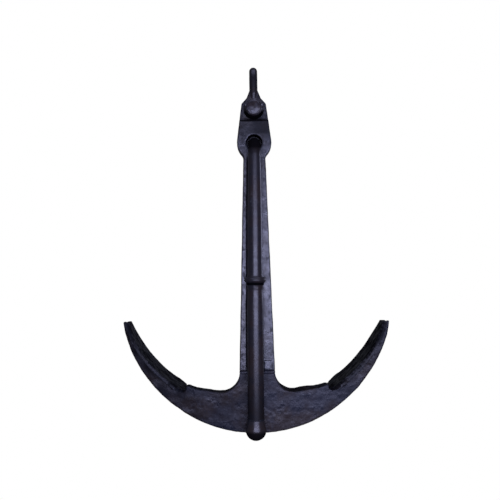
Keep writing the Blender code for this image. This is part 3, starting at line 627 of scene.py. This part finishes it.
def bill_shape(points):
    """Bills cut a little unevenly: the left one stands higher, and the right one is rounded more."""
    points = points.copy()
    near_bill = np.clip((points[:, 2] - up(190 * MM)) / (30 * MM), 0, 1)
    outer = np.clip((from_seat(points) - SEAT_RADIUS - 1 * MM) / (12 * MM), 0, 1)
    points[:, 0] += near_bill ** 2 * outer * np.where(points[:, 0] < 0, 2.4 * MM, -6 * MM)
    points[:, 2] += near_bill * np.where(points[:, 0] < 0, 2.6 * MM, -1.8 * MM)
    return points


def palm_shape(points):
    """Fuller shoulders on the palms' feet, which are thinned to lie smoothly on the arms."""
    points = points.copy()
    hollow = np.clip((SEAT_RADIUS - 1 * MM - from_seat(points)) / (8 * MM), 0, 1)
    angle = seat_angle(points)
    toe = np.clip((math.radians(36) - angle) / math.radians(5), 0, 1)
    points[:, 0] -= hollow * (1 - toe) * np.where(points[:, 0] < 0, 2.2 * MM, 1.2 * MM)
    thinned = 0.8 * MM * hollow * toe
    points[:, 0] += np.sign(points[:, 0]) * thinned * np.sin(angle)
    points[:, 2] -= thinned * np.cos(angle)
    shoulder = within(seat_angle(points), math.radians(31), math.radians(34.5), math.radians(3.5))
    points[:, 1] *= 1 + 0.17 * shoulder
    return bill_shape(points)


def palm_hollow_shade(points):
    """Dark, dull painted shade over the palms' hollow faces, mottled."""
    hollow = np.clip((SEAT_RADIUS - 3 * MM - from_seat(points)) / (4 * MM), 0, 1)
    return hollow * mottled_shade(points)


def mottled_shade(points):
    """Mottled painted shade, for the faces that look up."""
    blotches = noise_field(points, 16 * MM, 37)
    specks = noise_field(points, 5 * MM, 39)
    return np.clip(0.68 + 0.45 * blotches + 0.35 * specks, 0.2, 0.92)


def crown_painted_shade(points):
    """Painted shade in the hollows below the palms' feet and, mottled, along the tops of the arms; painted
    shade also darkens and dulls the left arm and the right arm's outer end.
    """
    aside = np.abs(points[:, 0])
    patchy = 1 + 0.35 * noise_field(points, 9 * MM, 31)
    # Painted shade in the hollow under each palm's foot.
    foot_aside = 166 * MM
    foot_z = up(103 * MM)
    reach = np.hypot((aside - foot_aside) / (14 * MM), (points[:, 2] - foot_z) / (15 * MM))
    hollow = np.clip(1.7 - reach * patchy * 1.2, 0, 1) * 0.95
    # Painted shade: the left arm, and the outer end of the right arm, darker and duller.
    left = np.clip((-points[:, 0] - 20 * MM) / (190 * MM), 0, 1)
    right = np.clip((points[:, 0] - 110 * MM) / (60 * MM), 0, 1)
    cloudy = np.clip(0.75 + 0.5 * noise_field(points, 24 * MM, 33), 0, 1)
    dull = (0.25 * (left > 0) + 0.45 * left + 0.25 * right) * cloudy
    # Mottled painted shade over the tops of the arms, away from their edges.
    slices = (aside / (4 * MM)).astype(int)
    half_depth = np.zeros(slices.max() + 1)
    np.maximum.at(half_depth, slices, np.abs(points[:, 1]))
    off_the_edges = np.abs(points[:, 1]) < half_depth[slices] - 3.2 * MM
    on_top = off_the_edges & (from_seat(points) < SEAT_RADIUS + 3 * MM)
    return np.maximum(np.maximum(hollow, dull), on_top * mottled_shade(points))


def lug_shape(points):
    """Round off the shackle's lugs below the pin."""
    points = points.copy()
    from_pin = np.hypot(points[:, 0], points[:, 2] - PIN_Z)
    over = np.clip((from_pin - 12 * MM) / (7.5 * MM), 0, 1)
    lower = np.clip((PIN_Z + 8 * MM - points[:, 2]) / (12 * MM), 0, 1)
    keep = 1 - 0.62 * lower * (1 - np.sqrt(1 - over ** 2))
    inner = TANG_DEPTH / 2 + 0.3 * MM
    outside = np.maximum(np.abs(points[:, 1]) - inner, 0)
    points[:, 1] -= np.sign(points[:, 1]) * outside * (1 - keep)
    return points


def lug_shade(points):
    """Painted shadow round the foot of the pin's head and under the lugs, and painted shade, darker and
    duller paint, up the bow.
    """
    from_pin = np.hypot(points[:, 0], points[:, 2] - PIN_Z)
    ring = within(from_pin, 9 * MM, 24 * MM, 2 * MM)
    under = ring * np.clip((PIN_Z + 2 * MM - points[:, 2]) / (9 * MM), 0, 1)
    patchy = np.clip(1 + 0.5 * noise_field(points, 9 * MM, 35), 0, 1.4)
    bow = 0.34 * patchy * np.clip((points[:, 2] - PIN_Z - 16 * MM) / (10 * MM), 0, 1)
    return np.maximum(under, bow)


def pad_tone(points, normals):
    """The blank marking pad, rubbed pale in a stippled patch."""
    rise = SHANK_LOW.y + 0.45 * MM
    on_pad = (points[:, 1] < rise) & (normals[:, 1] < -0.7) & (points[:, 2] < up(150 * MM))
    speckle = 0.5 + 0.5 * noise_field(points, 3.6 * MM, 7)
    return on_pad * np.clip(2.2 * speckle - 0.62, 0, 1)


def shank_piece():
    """The shank with its eye boss and tang."""
    forging("shank", "shank_forging", FORGED, "anchor", 1.2 * MM, 3,
            ((42 * MM, 0.35 * MM), (17 * MM, 0.22 * MM), (6 * MM, 0.10 * MM)),
            pits=(9 * MM, 0.14 * MM), tone=pad_tone, shade_and_dirt=shank_shade_and_dirt, shape=shank_shape)


def crown_piece():
    """The crown and both arms, one forging."""
    forging("crown_arms", "crown_forging", CROWN_PAINT, "anchor", 1.3 * MM, 4,
            ((40 * MM, 0.7 * MM), (16 * MM, 0.42 * MM), (7 * MM, 0.18 * MM)),
            pits=(12 * MM, 0.28 * MM), shade_and_dirt=crown_painted_shade, shape=crown_shape)


def palm_pieces():
    """The plate on each arm."""
    for side in ("left", "right"):
        forging("palm_" + side, "palm_plate_" + side, PALM_SHADED_PAINT, "anchor", 1.1 * MM, 3,
                ((35 * MM, 0.45 * MM), (13 * MM, 0.22 * MM), (6 * MM, 0.10 * MM)),
                pits=(10 * MM, 0.15 * MM), shade_and_dirt=palm_hollow_shade, shape=palm_shape)


def shackle_piece():
    """The bow with its two lugs."""
    forging("shackle_bow", "shackle_bow_forging", SMOOTH, "shackle", 0.75 * MM, 4,
            ((22 * MM, 0.16 * MM), (8 * MM, 0.08 * MM)), shade_and_dirt=lug_shade, shape=lug_shape)


def key_piece():
    """The flat key that locks the stock."""
    forging("forelock_key", "forelock_key_flat", STEEL, "key", 0.5 * MM, 2,
            ((12 * MM, 0.06 * MM), (4 * MM, 0.04 * MM)))


# ---------------------------------------------------------------- stock

def stock_route():
    """Centre line and radius of the bar, from inside its lower ball to inside its rear ball."""
    stops = [(0, STOCK_Y, up(height), radius) for height, radius in BAR_RADII]
    bend_start = LEG_Z - BEND_RADIUS
    bend_steps = 12
    for step in range(bend_steps + 1):
        angle = math.pi / 2 * step / bend_steps
        y = STOCK_Y + BEND_RADIUS * (1 - math.cos(angle))
        z = bend_start + BEND_RADIUS * math.sin(angle)
        stops.append((0, y, z, LEG_RADIUS + 0.5 * MM * (1 - step / bend_steps)))
    stops.append((0, REAR_BALL_Y - BALL_RADIUS * 0.7, LEG_Z, LEG_RADIUS))
    stops = np.array(stops)
    run = np.concatenate([[0], np.cumsum(np.linalg.norm(np.diff(stops[:, :3], axis=0), axis=1))])
    places = np.linspace(0, run[-1], int(run[-1] / (1.6 * MM)))
    return np.stack([np.interp(places, run, stops[:, column]) for column in range(4)], axis=1)


def cut_slot(mesh, centre, half_size):
    """Cut a straight slot through a mesh."""
    body = bpy.data.objects.new("bar", mesh)
    bm = bmesh.new()
    bmesh.ops.create_cube(bm, size=2)
    bmesh.ops.scale(bm, vec=half_size, verts=bm.verts)
    bmesh.ops.translate(bm, vec=centre, verts=bm.verts)
    cutter_mesh = bpy.data.meshes.new("slot")
    bm.to_mesh(cutter_mesh)
    bm.free()
    cutter = bpy.data.objects.new("slot", cutter_mesh)
    for obj in (body, cutter):
        bpy.context.scene.collection.objects.link(obj)
    modifier = body.modifiers.new("Slot", 'BOOLEAN')
    modifier.object = cutter
    modifier.solver = 'EXACT'
    bpy.context.view_layer.update()
    graph = bpy.context.evaluated_depsgraph_get()
    cut = bpy.data.meshes.new_from_object(body.evaluated_get(graph))
    for obj in (body, cutter):
        bpy.data.objects.remove(obj, do_unlink=True)
    return cut


def stock_bar():
    """The bent bar with its two key slots, for the stock stowed and in use."""
    route = stock_route()
    mesh = tube_along("stock_bar", route[:, :3], route[:, 3], sides=72)
    points = read_points(mesh)
    offsets = 0.10 * MM * noise_field(points * (1, 1, 0.4), 14 * MM, 3)
    offsets += 0.035 * MM * noise_field(points, 4 * MM, 5)
    push_out(mesh, offsets)
    key_y = (KEY_LOW.y + KEY_HIGH.y) / 2
    through = 40 * MM
    mesh = cut_slot(mesh, (0, key_y, LEG_Z), (through, SLOT_HALF_LENGTH, SLOT_HALF_WIDTH))
    mesh = cut_slot(mesh, (0, STOCK_Y, up(SLOT_HEIGHT)), (through, SLOT_HALF_WIDTH, SLOT_HALF_LENGTH))
    save_attribute(mesh, "wear", np.zeros(len(mesh.vertices)))
    points = read_points(mesh)
    rubbed_low = up(452 * MM)
    rubbed_top = up(483 * MM)
    fade = 6 * MM
    band = np.clip((points[:, 2] - rubbed_low) / fade, 0, 1)
    band *= np.clip((rubbed_top - points[:, 2]) / fade, 0, 1)
    scratches = np.clip(noise_field(points, 5 * MM, 9) * 1.5 - 0.1, 0, 1)
    save_attribute(mesh, "tone", band * scratches * 0.35)
    # Darker towards the foot of the bar; painted shade over the bend inside the eye, in front of the shank.
    foot = 0.55 * np.clip((up(140 * MM) - points[:, 2]) / (90 * MM), 0, 1)
    before_eye = np.clip((2 * MM - points[:, 1]) / (8 * MM), 0, 1)
    in_eye = 0.95 * before_eye * np.clip((points[:, 2] - up(552 * MM)) / (18 * MM), 0, 1)
    save_attribute(mesh, "shade_and_dirt", np.maximum(foot, in_eye))
    add_piece("stock_bar", mesh, SMOOTH, "stock_rod", "stock", sharp=50, turn=LEAN_TURN)


def turned_piece(name, node, profile, place, turn, material, body, layers, shade_and_dirt=None, sides=96):
    """A round piece from its section, with a slightly uneven surface."""
    mesh = lathe_mesh(name, profile, place, turn, sides)
    push_out(mesh, waves(read_points(mesh), layers, name))
    mark_wear(mesh)
    # Store the mark of painted shade, which the paint turns near black and dull.
    if shade_and_dirt:
        save_attribute(mesh, "shade_and_dirt", shade_and_dirt(read_points(mesh)))
    turn = LEAN_TURN if body == "stock" else None
    add_piece(name, mesh, material, node, body, sharp=60, turn=turn)


def ball_profile():
    """A plain forged ball."""
    profile = []
    steps = 40
    for step in range(steps + 1):
        angle = math.pi * step / steps
        profile.append((BALL_RADIUS * math.sin(angle), BALL_RADIUS * math.cos(angle)))
    profile[0] = (0, BALL_RADIUS)
    profile[-1] = (0, -BALL_RADIUS)
    return profile


def knob_profile():
    """The lower end: a round underside that narrows upwards in a smooth flare to the bar."""
    rise = BALL_HIGH.z - LOWER_BALL_Z
    profile = [(0, rise)]
    flare_steps = 12
    for step in range(flare_steps + 1):
        share = step / flare_steps
        flare = BALL_RADIUS - (BALL_RADIUS - BAR_RADIUS - 0.3 * MM) * (1 - share) ** 1.25
        profile.append((flare, rise * (1 - share)))
    round_steps = 20
    for step in range(1, round_steps + 1):
        angle = math.pi / 2 * (1 + step / round_steps)
        profile.append((BALL_RADIUS * math.sin(angle), BALL_RADIUS * math.cos(angle)))
    profile[-1] = (0, -BALL_RADIUS)
    return profile


def knob_underside_shade(points):
    """Painted shade on the knob's underside."""
    return np.clip((LOWER_BALL_Z + 1.5 * MM - points[:, 2]) / (6 * MM), 0, 0.85)


def stock_ends():
    """The knob on the long end and the ball on the short leg."""
    layers = ((14 * MM, 0.12 * MM), (5 * MM, 0.05 * MM))
    turned_piece("stock_knob_front", "stock_ball_lower", knob_profile(), (0, STOCK_Y, LOWER_BALL_Z),
                 UPRIGHT, SMOOTH, "stock", layers, shade_and_dirt=knob_underside_shade)
    turned_piece("stock_ball_rear", "stock_ball_upper", ball_profile(), (0, REAR_BALL_Y, LEG_Z),
                 FACING_FRONT, SMOOTH, "stock", layers)


def collar_undercut_shade(points):
    """Painted shade in the undercut below the collar's bead."""
    return within(points[:, 2], COLLAR_LOW.z - 1.0 * MM, COLLAR_LOW.z + 3.4 * MM, 1.0 * MM) * 0.97


def stock_collar():
    """The ring that bears on the shank in use: a round bead over a narrow neck."""
    height = COLLAR_HIGH.z - COLLAR_LOW.z
    radius = (COLLAR_HIGH.x - COLLAR_LOW.x) / 2
    bead = height * 0.34
    middle = bead + height * 0.17
    neck = COLLAR_NECK - 1 * MM
    profile = [(COLLAR_BORE, height), (COLLAR_BORE + 1.2 * MM, height),
               (COLLAR_BORE + 1.6 * MM, middle + bead)]
    steps = 24
    for step in range(steps + 1):
        angle = math.radians(70 - 130 * step / steps)
        profile.append((radius + 0.3 * MM - bead + bead * math.cos(angle), middle + bead * math.sin(angle)))
    profile += [(neck, height * 0.12), (neck, 0), (COLLAR_BORE, 0), (COLLAR_BORE, height)]
    turned_piece("stock_collar_ring", "stock_collar", profile, (0, STOCK_Y, COLLAR_LOW.z), UPRIGHT,
                 SMOOTH, "stock", ((9 * MM, 0.12 * MM), (4 * MM, 0.05 * MM)),
                 shade_and_dirt=collar_undercut_shade, sides=120)


def rippled_ring(name, node, place, turn, ring_radius, bead, squeeze):
    """A weld bead laid round the stock, with the ripples of its runs."""
    ripple_length = 1.7 * MM
    ripples = int(2 * math.pi * ring_radius / ripple_length)
    count = ripples * RIPPLE_STEPS
    rings = []
    for step in range(count):
        angle = 2 * math.pi * step / count
        phase = (step % RIPPLE_STEPS) / RIPPLE_STEPS
        unevenness = noise.noise(Vector((math.cos(angle) * 3, math.sin(angle) * 3, 1)))
        swell = 1 + 0.16 * (phase - 0.5) + 0.07 * unevenness
        outward = Vector((math.cos(angle), math.sin(angle), 0))
        ring = []
        for side in range(BEAD_SIDES):
            around = 2 * math.pi * side / BEAD_SIDES
            lag = 0.25 * math.cos(around) * bead
            along = Vector((-math.sin(angle), math.cos(angle), 0)) * lag
            reach = outward * (ring_radius + bead * swell * math.cos(around))
            lift = Vector((0, 0, bead * swell * squeeze * math.sin(around)))
            ring.append(tuple(reach + lift + along))
        rings.append(ring)
    mesh = ring_mesh(name, rings)
    mesh.transform(Matrix.Translation(place) @ turn)
    mark_wear(mesh)
    add_piece(name, mesh, WELD_PAINT, node, "stock", turn=LEAN_TURN)


def stock_welds():
    """The beads at the knob and the ball, and the fillet under the collar."""
    low_z = (LOW_WELD_LOW.z + LOW_WELD_HIGH.z) / 2
    rear_y = (REAR_WELD_LOW.y + REAR_WELD_HIGH.y) / 2
    rippled_ring("knob_bead_front", "ball_weld_lower", (0, STOCK_Y, low_z), UPRIGHT,
                 BAR_RADIUS - 0.6 * MM, 1.1 * MM, squeeze=1.7)
    rippled_ring("ball_bead_rear", "ball_weld_upper", (0, rear_y, LEG_Z), FACING_FRONT,
                 LEG_RADIUS - 0.1 * MM, 1.4 * MM, squeeze=1.3)
    height = COLLAR_WELD_HIGH.z - COLLAR_WELD_LOW.z
    bar = 15.3 * MM
    profile = [(COLLAR_BORE, height), (COLLAR_NECK - 1.2 * MM, height),
               (COLLAR_NECK - 1.7 * MM, height * 0.75), (COLLAR_NECK - 2.2 * MM, height * 0.30),
               (bar, 0), (COLLAR_BORE, 0), (COLLAR_BORE, height)]
    turned_piece("collar_fillet", "collar_weld", profile, (0, STOCK_Y, COLLAR_WELD_LOW.z), UPRIGHT,
                 SMOOTH, "stock", ((5 * MM, 0.2 * MM), (2.2 * MM, 0.1 * MM)),
                 shade_and_dirt=collar_undercut_shade, sides=120)


# ---------------------------------------------------------------- welds of the anchor

def bead_ripple(index, angle):
    """The swell of a weld bead along its run and round its section."""
    phase = (index % RIPPLE_STEPS) / RIPPLE_STEPS
    return 1 + 0.15 * (phase - 0.5) + 0.06 * math.sin(index * 0.37 + angle)


def palm_welds():
    """The fillet beads that hold each palm, one on either side of each arm.

    The arms narrow in depth by taper_drop a side over taper_run, outwards from taper_start.
    """
    start = math.radians(31.6)
    end = math.radians(66.6)
    steps = 560
    taper_start = 60 * MM
    taper_drop = 10 * MM
    taper_run = 204 * MM
    for label, side in (("left", -1), ("right", 1)):
        for end_name, face in (("front", -1), ("rear", 1)):
            node = "palm_weld_" + label + "_" + end_name
            points, radii = [], []
            for step in range(steps):
                share = step / (steps - 1)
                angle = start + (end - start) * share
                leg = (4.6 - 2.2 * share) * MM
                x = SEAT_ASIDE + (SEAT_RADIUS + 0.32 * leg) * math.sin(angle)
                z = up(SEAT_CENTRE - (SEAT_RADIUS + 0.32 * leg) * math.cos(angle))
                cheek = DEPTH / 2 - (abs(x) - taper_start) * taper_drop / taper_run
                points.append((side * x, face * (cheek + 0.32 * leg), z))
                radii.append(0.62 * leg)
            mesh = tube_along(node, points, radii, sides=BEAD_SIDES, ripple=bead_ripple)
            mark_wear(mesh)
            add_piece("palm_bead_" + label + "_" + end_name, mesh, WELD_PAINT, node, "anchor")


def crown_bead():
    """Weld run round the foot of the shank."""
    inset = 1.4 * MM
    half_x = (FOOT_HIGH.x - FOOT_LOW.x) / 2 - inset
    half_y = (FOOT_HIGH.y - FOOT_LOW.y) / 2 - inset
    corner = 2.5 * MM
    width = 1.2 * MM
    rise = 2.7 * MM
    ripple_steps = 7
    z = (FOOT_LOW.z + FOOT_HIGH.z) / 2
    corners = ((1, 1, 0), (-1, 1, 90), (-1, -1, 180), (1, -1, 270))
    outline = []
    for sign_x, sign_y, start in corners:
        for step in range(7):
            angle = math.radians(start + 15 * step)
            outline.append((sign_x * (half_x - corner) + corner * math.cos(angle),
                            sign_y * (half_y - corner) + corner * math.sin(angle)))
    outline.append(outline[0])
    path = resample(outline, 0.3 * MM)[:-1]
    rings = []
    count = len(path)
    for index, (x, y) in enumerate(path):
        ahead = path[(index + 1) % count]
        behind = path[index - 1]
        forward = Vector((ahead[0] - behind[0], ahead[1] - behind[1], 0)).normalized()
        outward = Vector((forward.y, -forward.x, 0))
        swell = 1 + 0.18 * ((index % ripple_steps) / ripple_steps - 0.5)
        wander = 0.5 * MM * noise.noise(Vector((x, y, 0.3)) / (9 * MM))
        ring = []
        for side in range(BEAD_SIDES):
            around = 2 * math.pi * side / BEAD_SIDES
            spot = Vector((x, y, z + wander)) + outward * (width * swell * math.cos(around))
            ring.append(tuple(spot + Vector((0, 0, rise * swell * math.sin(around)))))
        rings.append(ring)
    mesh = ring_mesh("crown_bead", rings)
    mark_wear(mesh)
    add_piece("crown_bead", mesh, CROWN_PAINT, "crown_weld", "anchor")


# ---------------------------------------------------------------- shackle fittings

def shackle_pin():
    """Headed pin: a hammered, slightly domed head to the front and a chamfered end behind."""
    top = -PIN_LOW.y
    end = -PIN_HIGH.y
    rim = 4.2 * MM
    dome = 1.6 * MM
    edge = 0.8 * MM
    chamfer = 1.5 * MM
    profile = []
    dome_steps = 8
    for step in range(dome_steps + 1):
        share = step / dome_steps
        profile.append(((HEAD_RADIUS - rim) * share, top - dome * share ** 2))
    rim_steps = 12
    for step in range(1, rim_steps + 1):
        angle = math.pi / 2 * (1 - step / rim_steps)
        profile.append((HEAD_RADIUS - rim + rim * math.cos(angle), top - dome - rim + rim * math.sin(angle)))
    profile += [(HEAD_RADIUS, HEAD_BASE + edge), (HEAD_RADIUS - edge, HEAD_BASE), (PIN_RADIUS, HEAD_BASE),
                (PIN_RADIUS, end + chamfer), (PIN_RADIUS - chamfer, end), (0, end)]
    mesh = lathe_mesh("shackle_pin_turned", profile, (0, 0, PIN_Z), FACING_FRONT)
    points = read_points(mesh)
    on_head = np.clip((-points[:, 1] - HEAD_BASE) / (3 * MM), 0, 1)
    lumps = 0.35 * MM * noise_field(points, 9 * MM, 11) + 0.16 * MM * noise_field(points, 4 * MM, 12)
    push_out(mesh, on_head * lumps)
    split_y = (SPLIT_LOW.y + SPLIT_HIGH.y) / 2
    mesh = cut_slot(mesh, (0, split_y, PIN_Z), (2.0 * MM, 2.9 * MM, 30 * MM))
    mark_wear(mesh)
    points = read_points(mesh)
    rubbed = np.clip(noise_field(points, 6 * MM, 13) * 1.6 + 0.15, 0, 1)
    save_attribute(mesh, "tone", (points[:, 1] < -HEAD_BASE - 9 * MM) * rubbed * 0.35)
    add_piece("shackle_pin_turned", mesh, SMOOTH, "shackle_pin", "shackle", sharp=60)


def washer(name, node, low, high, bore, place_z, body, material):
    """A flat washer with chamfered edges, as deep and wide as its box."""
    thickness = high.y - low.y
    rim = (high.x - low.x) / 2
    edge = 0.5 * MM
    profile = [(bore, thickness), (rim - edge, thickness), (rim, thickness - edge), (rim, edge),
               (rim - edge, 0), (bore, 0), (bore, thickness)]
    turned_piece(name, node, profile, (0, low.y, place_z), FACING_REAR, material, body,
                 ((9 * MM, 0.06 * MM),))


def washers():
    """The shackle pin's washer, and the one between the shank and the key."""
    play = 0.3 * MM
    washer("pin_washer_ring", "pin_washer", WASHER_LOW, WASHER_HIGH, PIN_RADIUS + play, PIN_Z, "shackle",
           STEEL)
    washer("stow_washer_ring", "stow_washer", STOW_LOW, STOW_HIGH, LEG_RADIUS + play, LEG_Z, "stock",
           SMOOTH)


def split_pin():
    """Half-round wire folded into an eye, with its legs spread under the pin."""
    middle = 35.5 * MM
    wire = 1.25 * MM
    offset = wire + 0.15 * MM
    top = PIN_Z + PIN_RADIUS + 2 * MM
    bottom = PIN_Z - PIN_RADIUS - 2.5 * MM
    eye = 3.6 * MM
    knots = [(middle - offset - 2.6 * MM, bottom - 7.5 * MM), (middle - offset - 1.2 * MM, bottom - 3 * MM),
             (middle - offset, bottom + 1 * MM), (middle - offset, top)]
    steps = 24
    for step in range(steps + 1):
        angle = math.radians(235 - 290 * step / steps)
        knots.append((middle + eye * math.cos(angle), top + 4.6 * MM + eye * math.sin(angle)))
    knots += [(middle + offset, top), (middle + offset, bottom + 1 * MM),
              (middle + offset + 0.4 * MM, bottom - 2 * MM), (middle + offset + 2.6 * MM, bottom - 8 * MM)]
    path = resample(knots, 0.5 * MM)
    centres = [(0, y, z) for y, z in path]
    mesh = tube_along("split_pin_wire", centres, [wire] * len(path), sides=16)
    save_attribute(mesh, "wear", np.zeros(len(mesh.vertices)))
    add_piece("split_pin_wire", mesh, STEEL, "split_pin", "shackle")


# ---------------------------------------------------------------- studio and camera

VIEW_DISTANCE = 1.70
VIEW_WIDTH = 1.0
VIEW_ASIDE = -11.3 * MM
VIEW_HEIGHT = 367.2 * MM
VIEW_ROLL = math.radians(0.80)
SENSOR_WIDTH = 36
COOL_LIGHT = (0.62, 0.64, 1.0)
FLOOR_SHADE = 0.12


def add_camera():
    """A level camera in front of the anchor, rolled a little."""
    data = bpy.data.cameras.new("camera")
    data.sensor_width = SENSOR_WIDTH
    data.lens = SENSOR_WIDTH * VIEW_DISTANCE / VIEW_WIDTH
    camera = bpy.data.objects.new("camera", data)
    camera.location = (VIEW_ASIDE, CROWN_LOW.y - VIEW_DISTANCE, up(VIEW_HEIGHT))
    camera.rotation_euler = (FACING_FRONT @ Matrix.Rotation(-VIEW_ROLL, 4, 'Z')).to_euler()
    bpy.context.scene.collection.objects.link(camera)
    bpy.context.scene.camera = camera


def area_light(name, place, target, width, height, power):
    """A soft rectangular light that faces its target."""
    data = bpy.data.lights.new(name, 'AREA')
    data.shape = 'RECTANGLE'
    data.size = width
    data.size_y = height
    data.energy = power
    data.color = COOL_LIGHT
    light = bpy.data.objects.new(name, data)
    light.location = place
    light.rotation_euler = (Vector(target) - Vector(place)).to_track_quat('-Z', 'Y').to_euler()
    bpy.context.scene.collection.objects.link(light)


def seen_and_lighting(tree, output_kind, seen, lighting):
    """Show one shader to the eye, and let the other one light the anchor."""
    output = tree.nodes.new(output_kind)
    mix = tree.nodes.new("ShaderNodeMixShader")
    path = tree.nodes.new("ShaderNodeLightPath")
    tree.links.new(path.outputs["Is Camera Ray"], mix.inputs[0])
    tree.links.new(lighting.outputs[0], mix.inputs[1])
    tree.links.new(seen.outputs[0], mix.inputs[2])
    tree.links.new(mix.outputs[0], output.inputs[0])


def pale_floor_material():
    """White to look at, and a quiet grey as a source of light."""
    material = bpy.data.materials.new("pale_floor")
    material.use_nodes = True
    tree = material.node_tree
    tree.nodes.clear()
    soft = tree.nodes.new("ShaderNodeBsdfDiffuse")
    soft.inputs["Color"].default_value = (FLOOR_SHADE, FLOOR_SHADE, FLOOR_SHADE, 1)
    glow = tree.nodes.new("ShaderNodeEmission")
    glow.inputs["Color"].default_value = (1, 1, 1, 1)
    seen_and_lighting(tree, "ShaderNodeOutputMaterial", glow, soft)
    return material


def add_floor():
    """A round pale floor well below the anchor."""
    bm = bmesh.new()
    bmesh.ops.create_circle(bm, cap_ends=True, segments=96, radius=1.1)
    mesh = bpy.data.meshes.new("studio_floor")
    bm.to_mesh(mesh)
    bm.free()
    mesh.materials.append(pale_floor_material())
    floor = bpy.data.objects.new("studio_floor", mesh)
    floor.location = (0, 0.1, up(-0.32))
    bpy.context.scene.collection.objects.link(floor)


def add_world():
    """White to look at, and a dim bluish light from all round."""
    world = bpy.data.worlds.new("studio")
    bpy.context.scene.world = world
    world.use_nodes = True
    tree = world.node_tree
    tree.nodes.clear()
    quiet = tree.nodes.new("ShaderNodeBackground")
    quiet.inputs["Color"].default_value = (0.80, 0.85, 1.0, 1)
    quiet.inputs["Strength"].default_value = 0.11
    white = tree.nodes.new("ShaderNodeBackground")
    white.inputs["Color"].default_value = (1, 1, 1, 1)
    white.inputs["Strength"].default_value = 1.0
    seen_and_lighting(tree, "ShaderNodeOutputWorld", white, quiet)


def add_studio():
    """Three soft lights, the surroundings and the floor."""
    bpy.context.scene.view_settings.view_transform = 'Standard'
    middle = (0, 0, up(300 * MM))
    front = up(243 * MM)
    area_light("front_softbox", (0.35, -2.0, front), (0.35, 0, front), 2.2, 0.54, power=36)
    area_light("top_softbox", (0.1, -0.3, up(2.1)), middle, 1.8, 1.4, power=14)
    area_light("rear_softbox", (1.7, 1.5, up(520 * MM)), middle, 0.8, 0.8, power=6)
    add_world()
    add_floor()


add_camera()
add_studio()
shank_piece()
crown_piece()
palm_pieces()
shackle_piece()
key_piece()
stock_bar()
stock_ends()
stock_collar()
stock_welds()
palm_welds()
crown_bead()
shackle_pin()
washers()
split_pin()
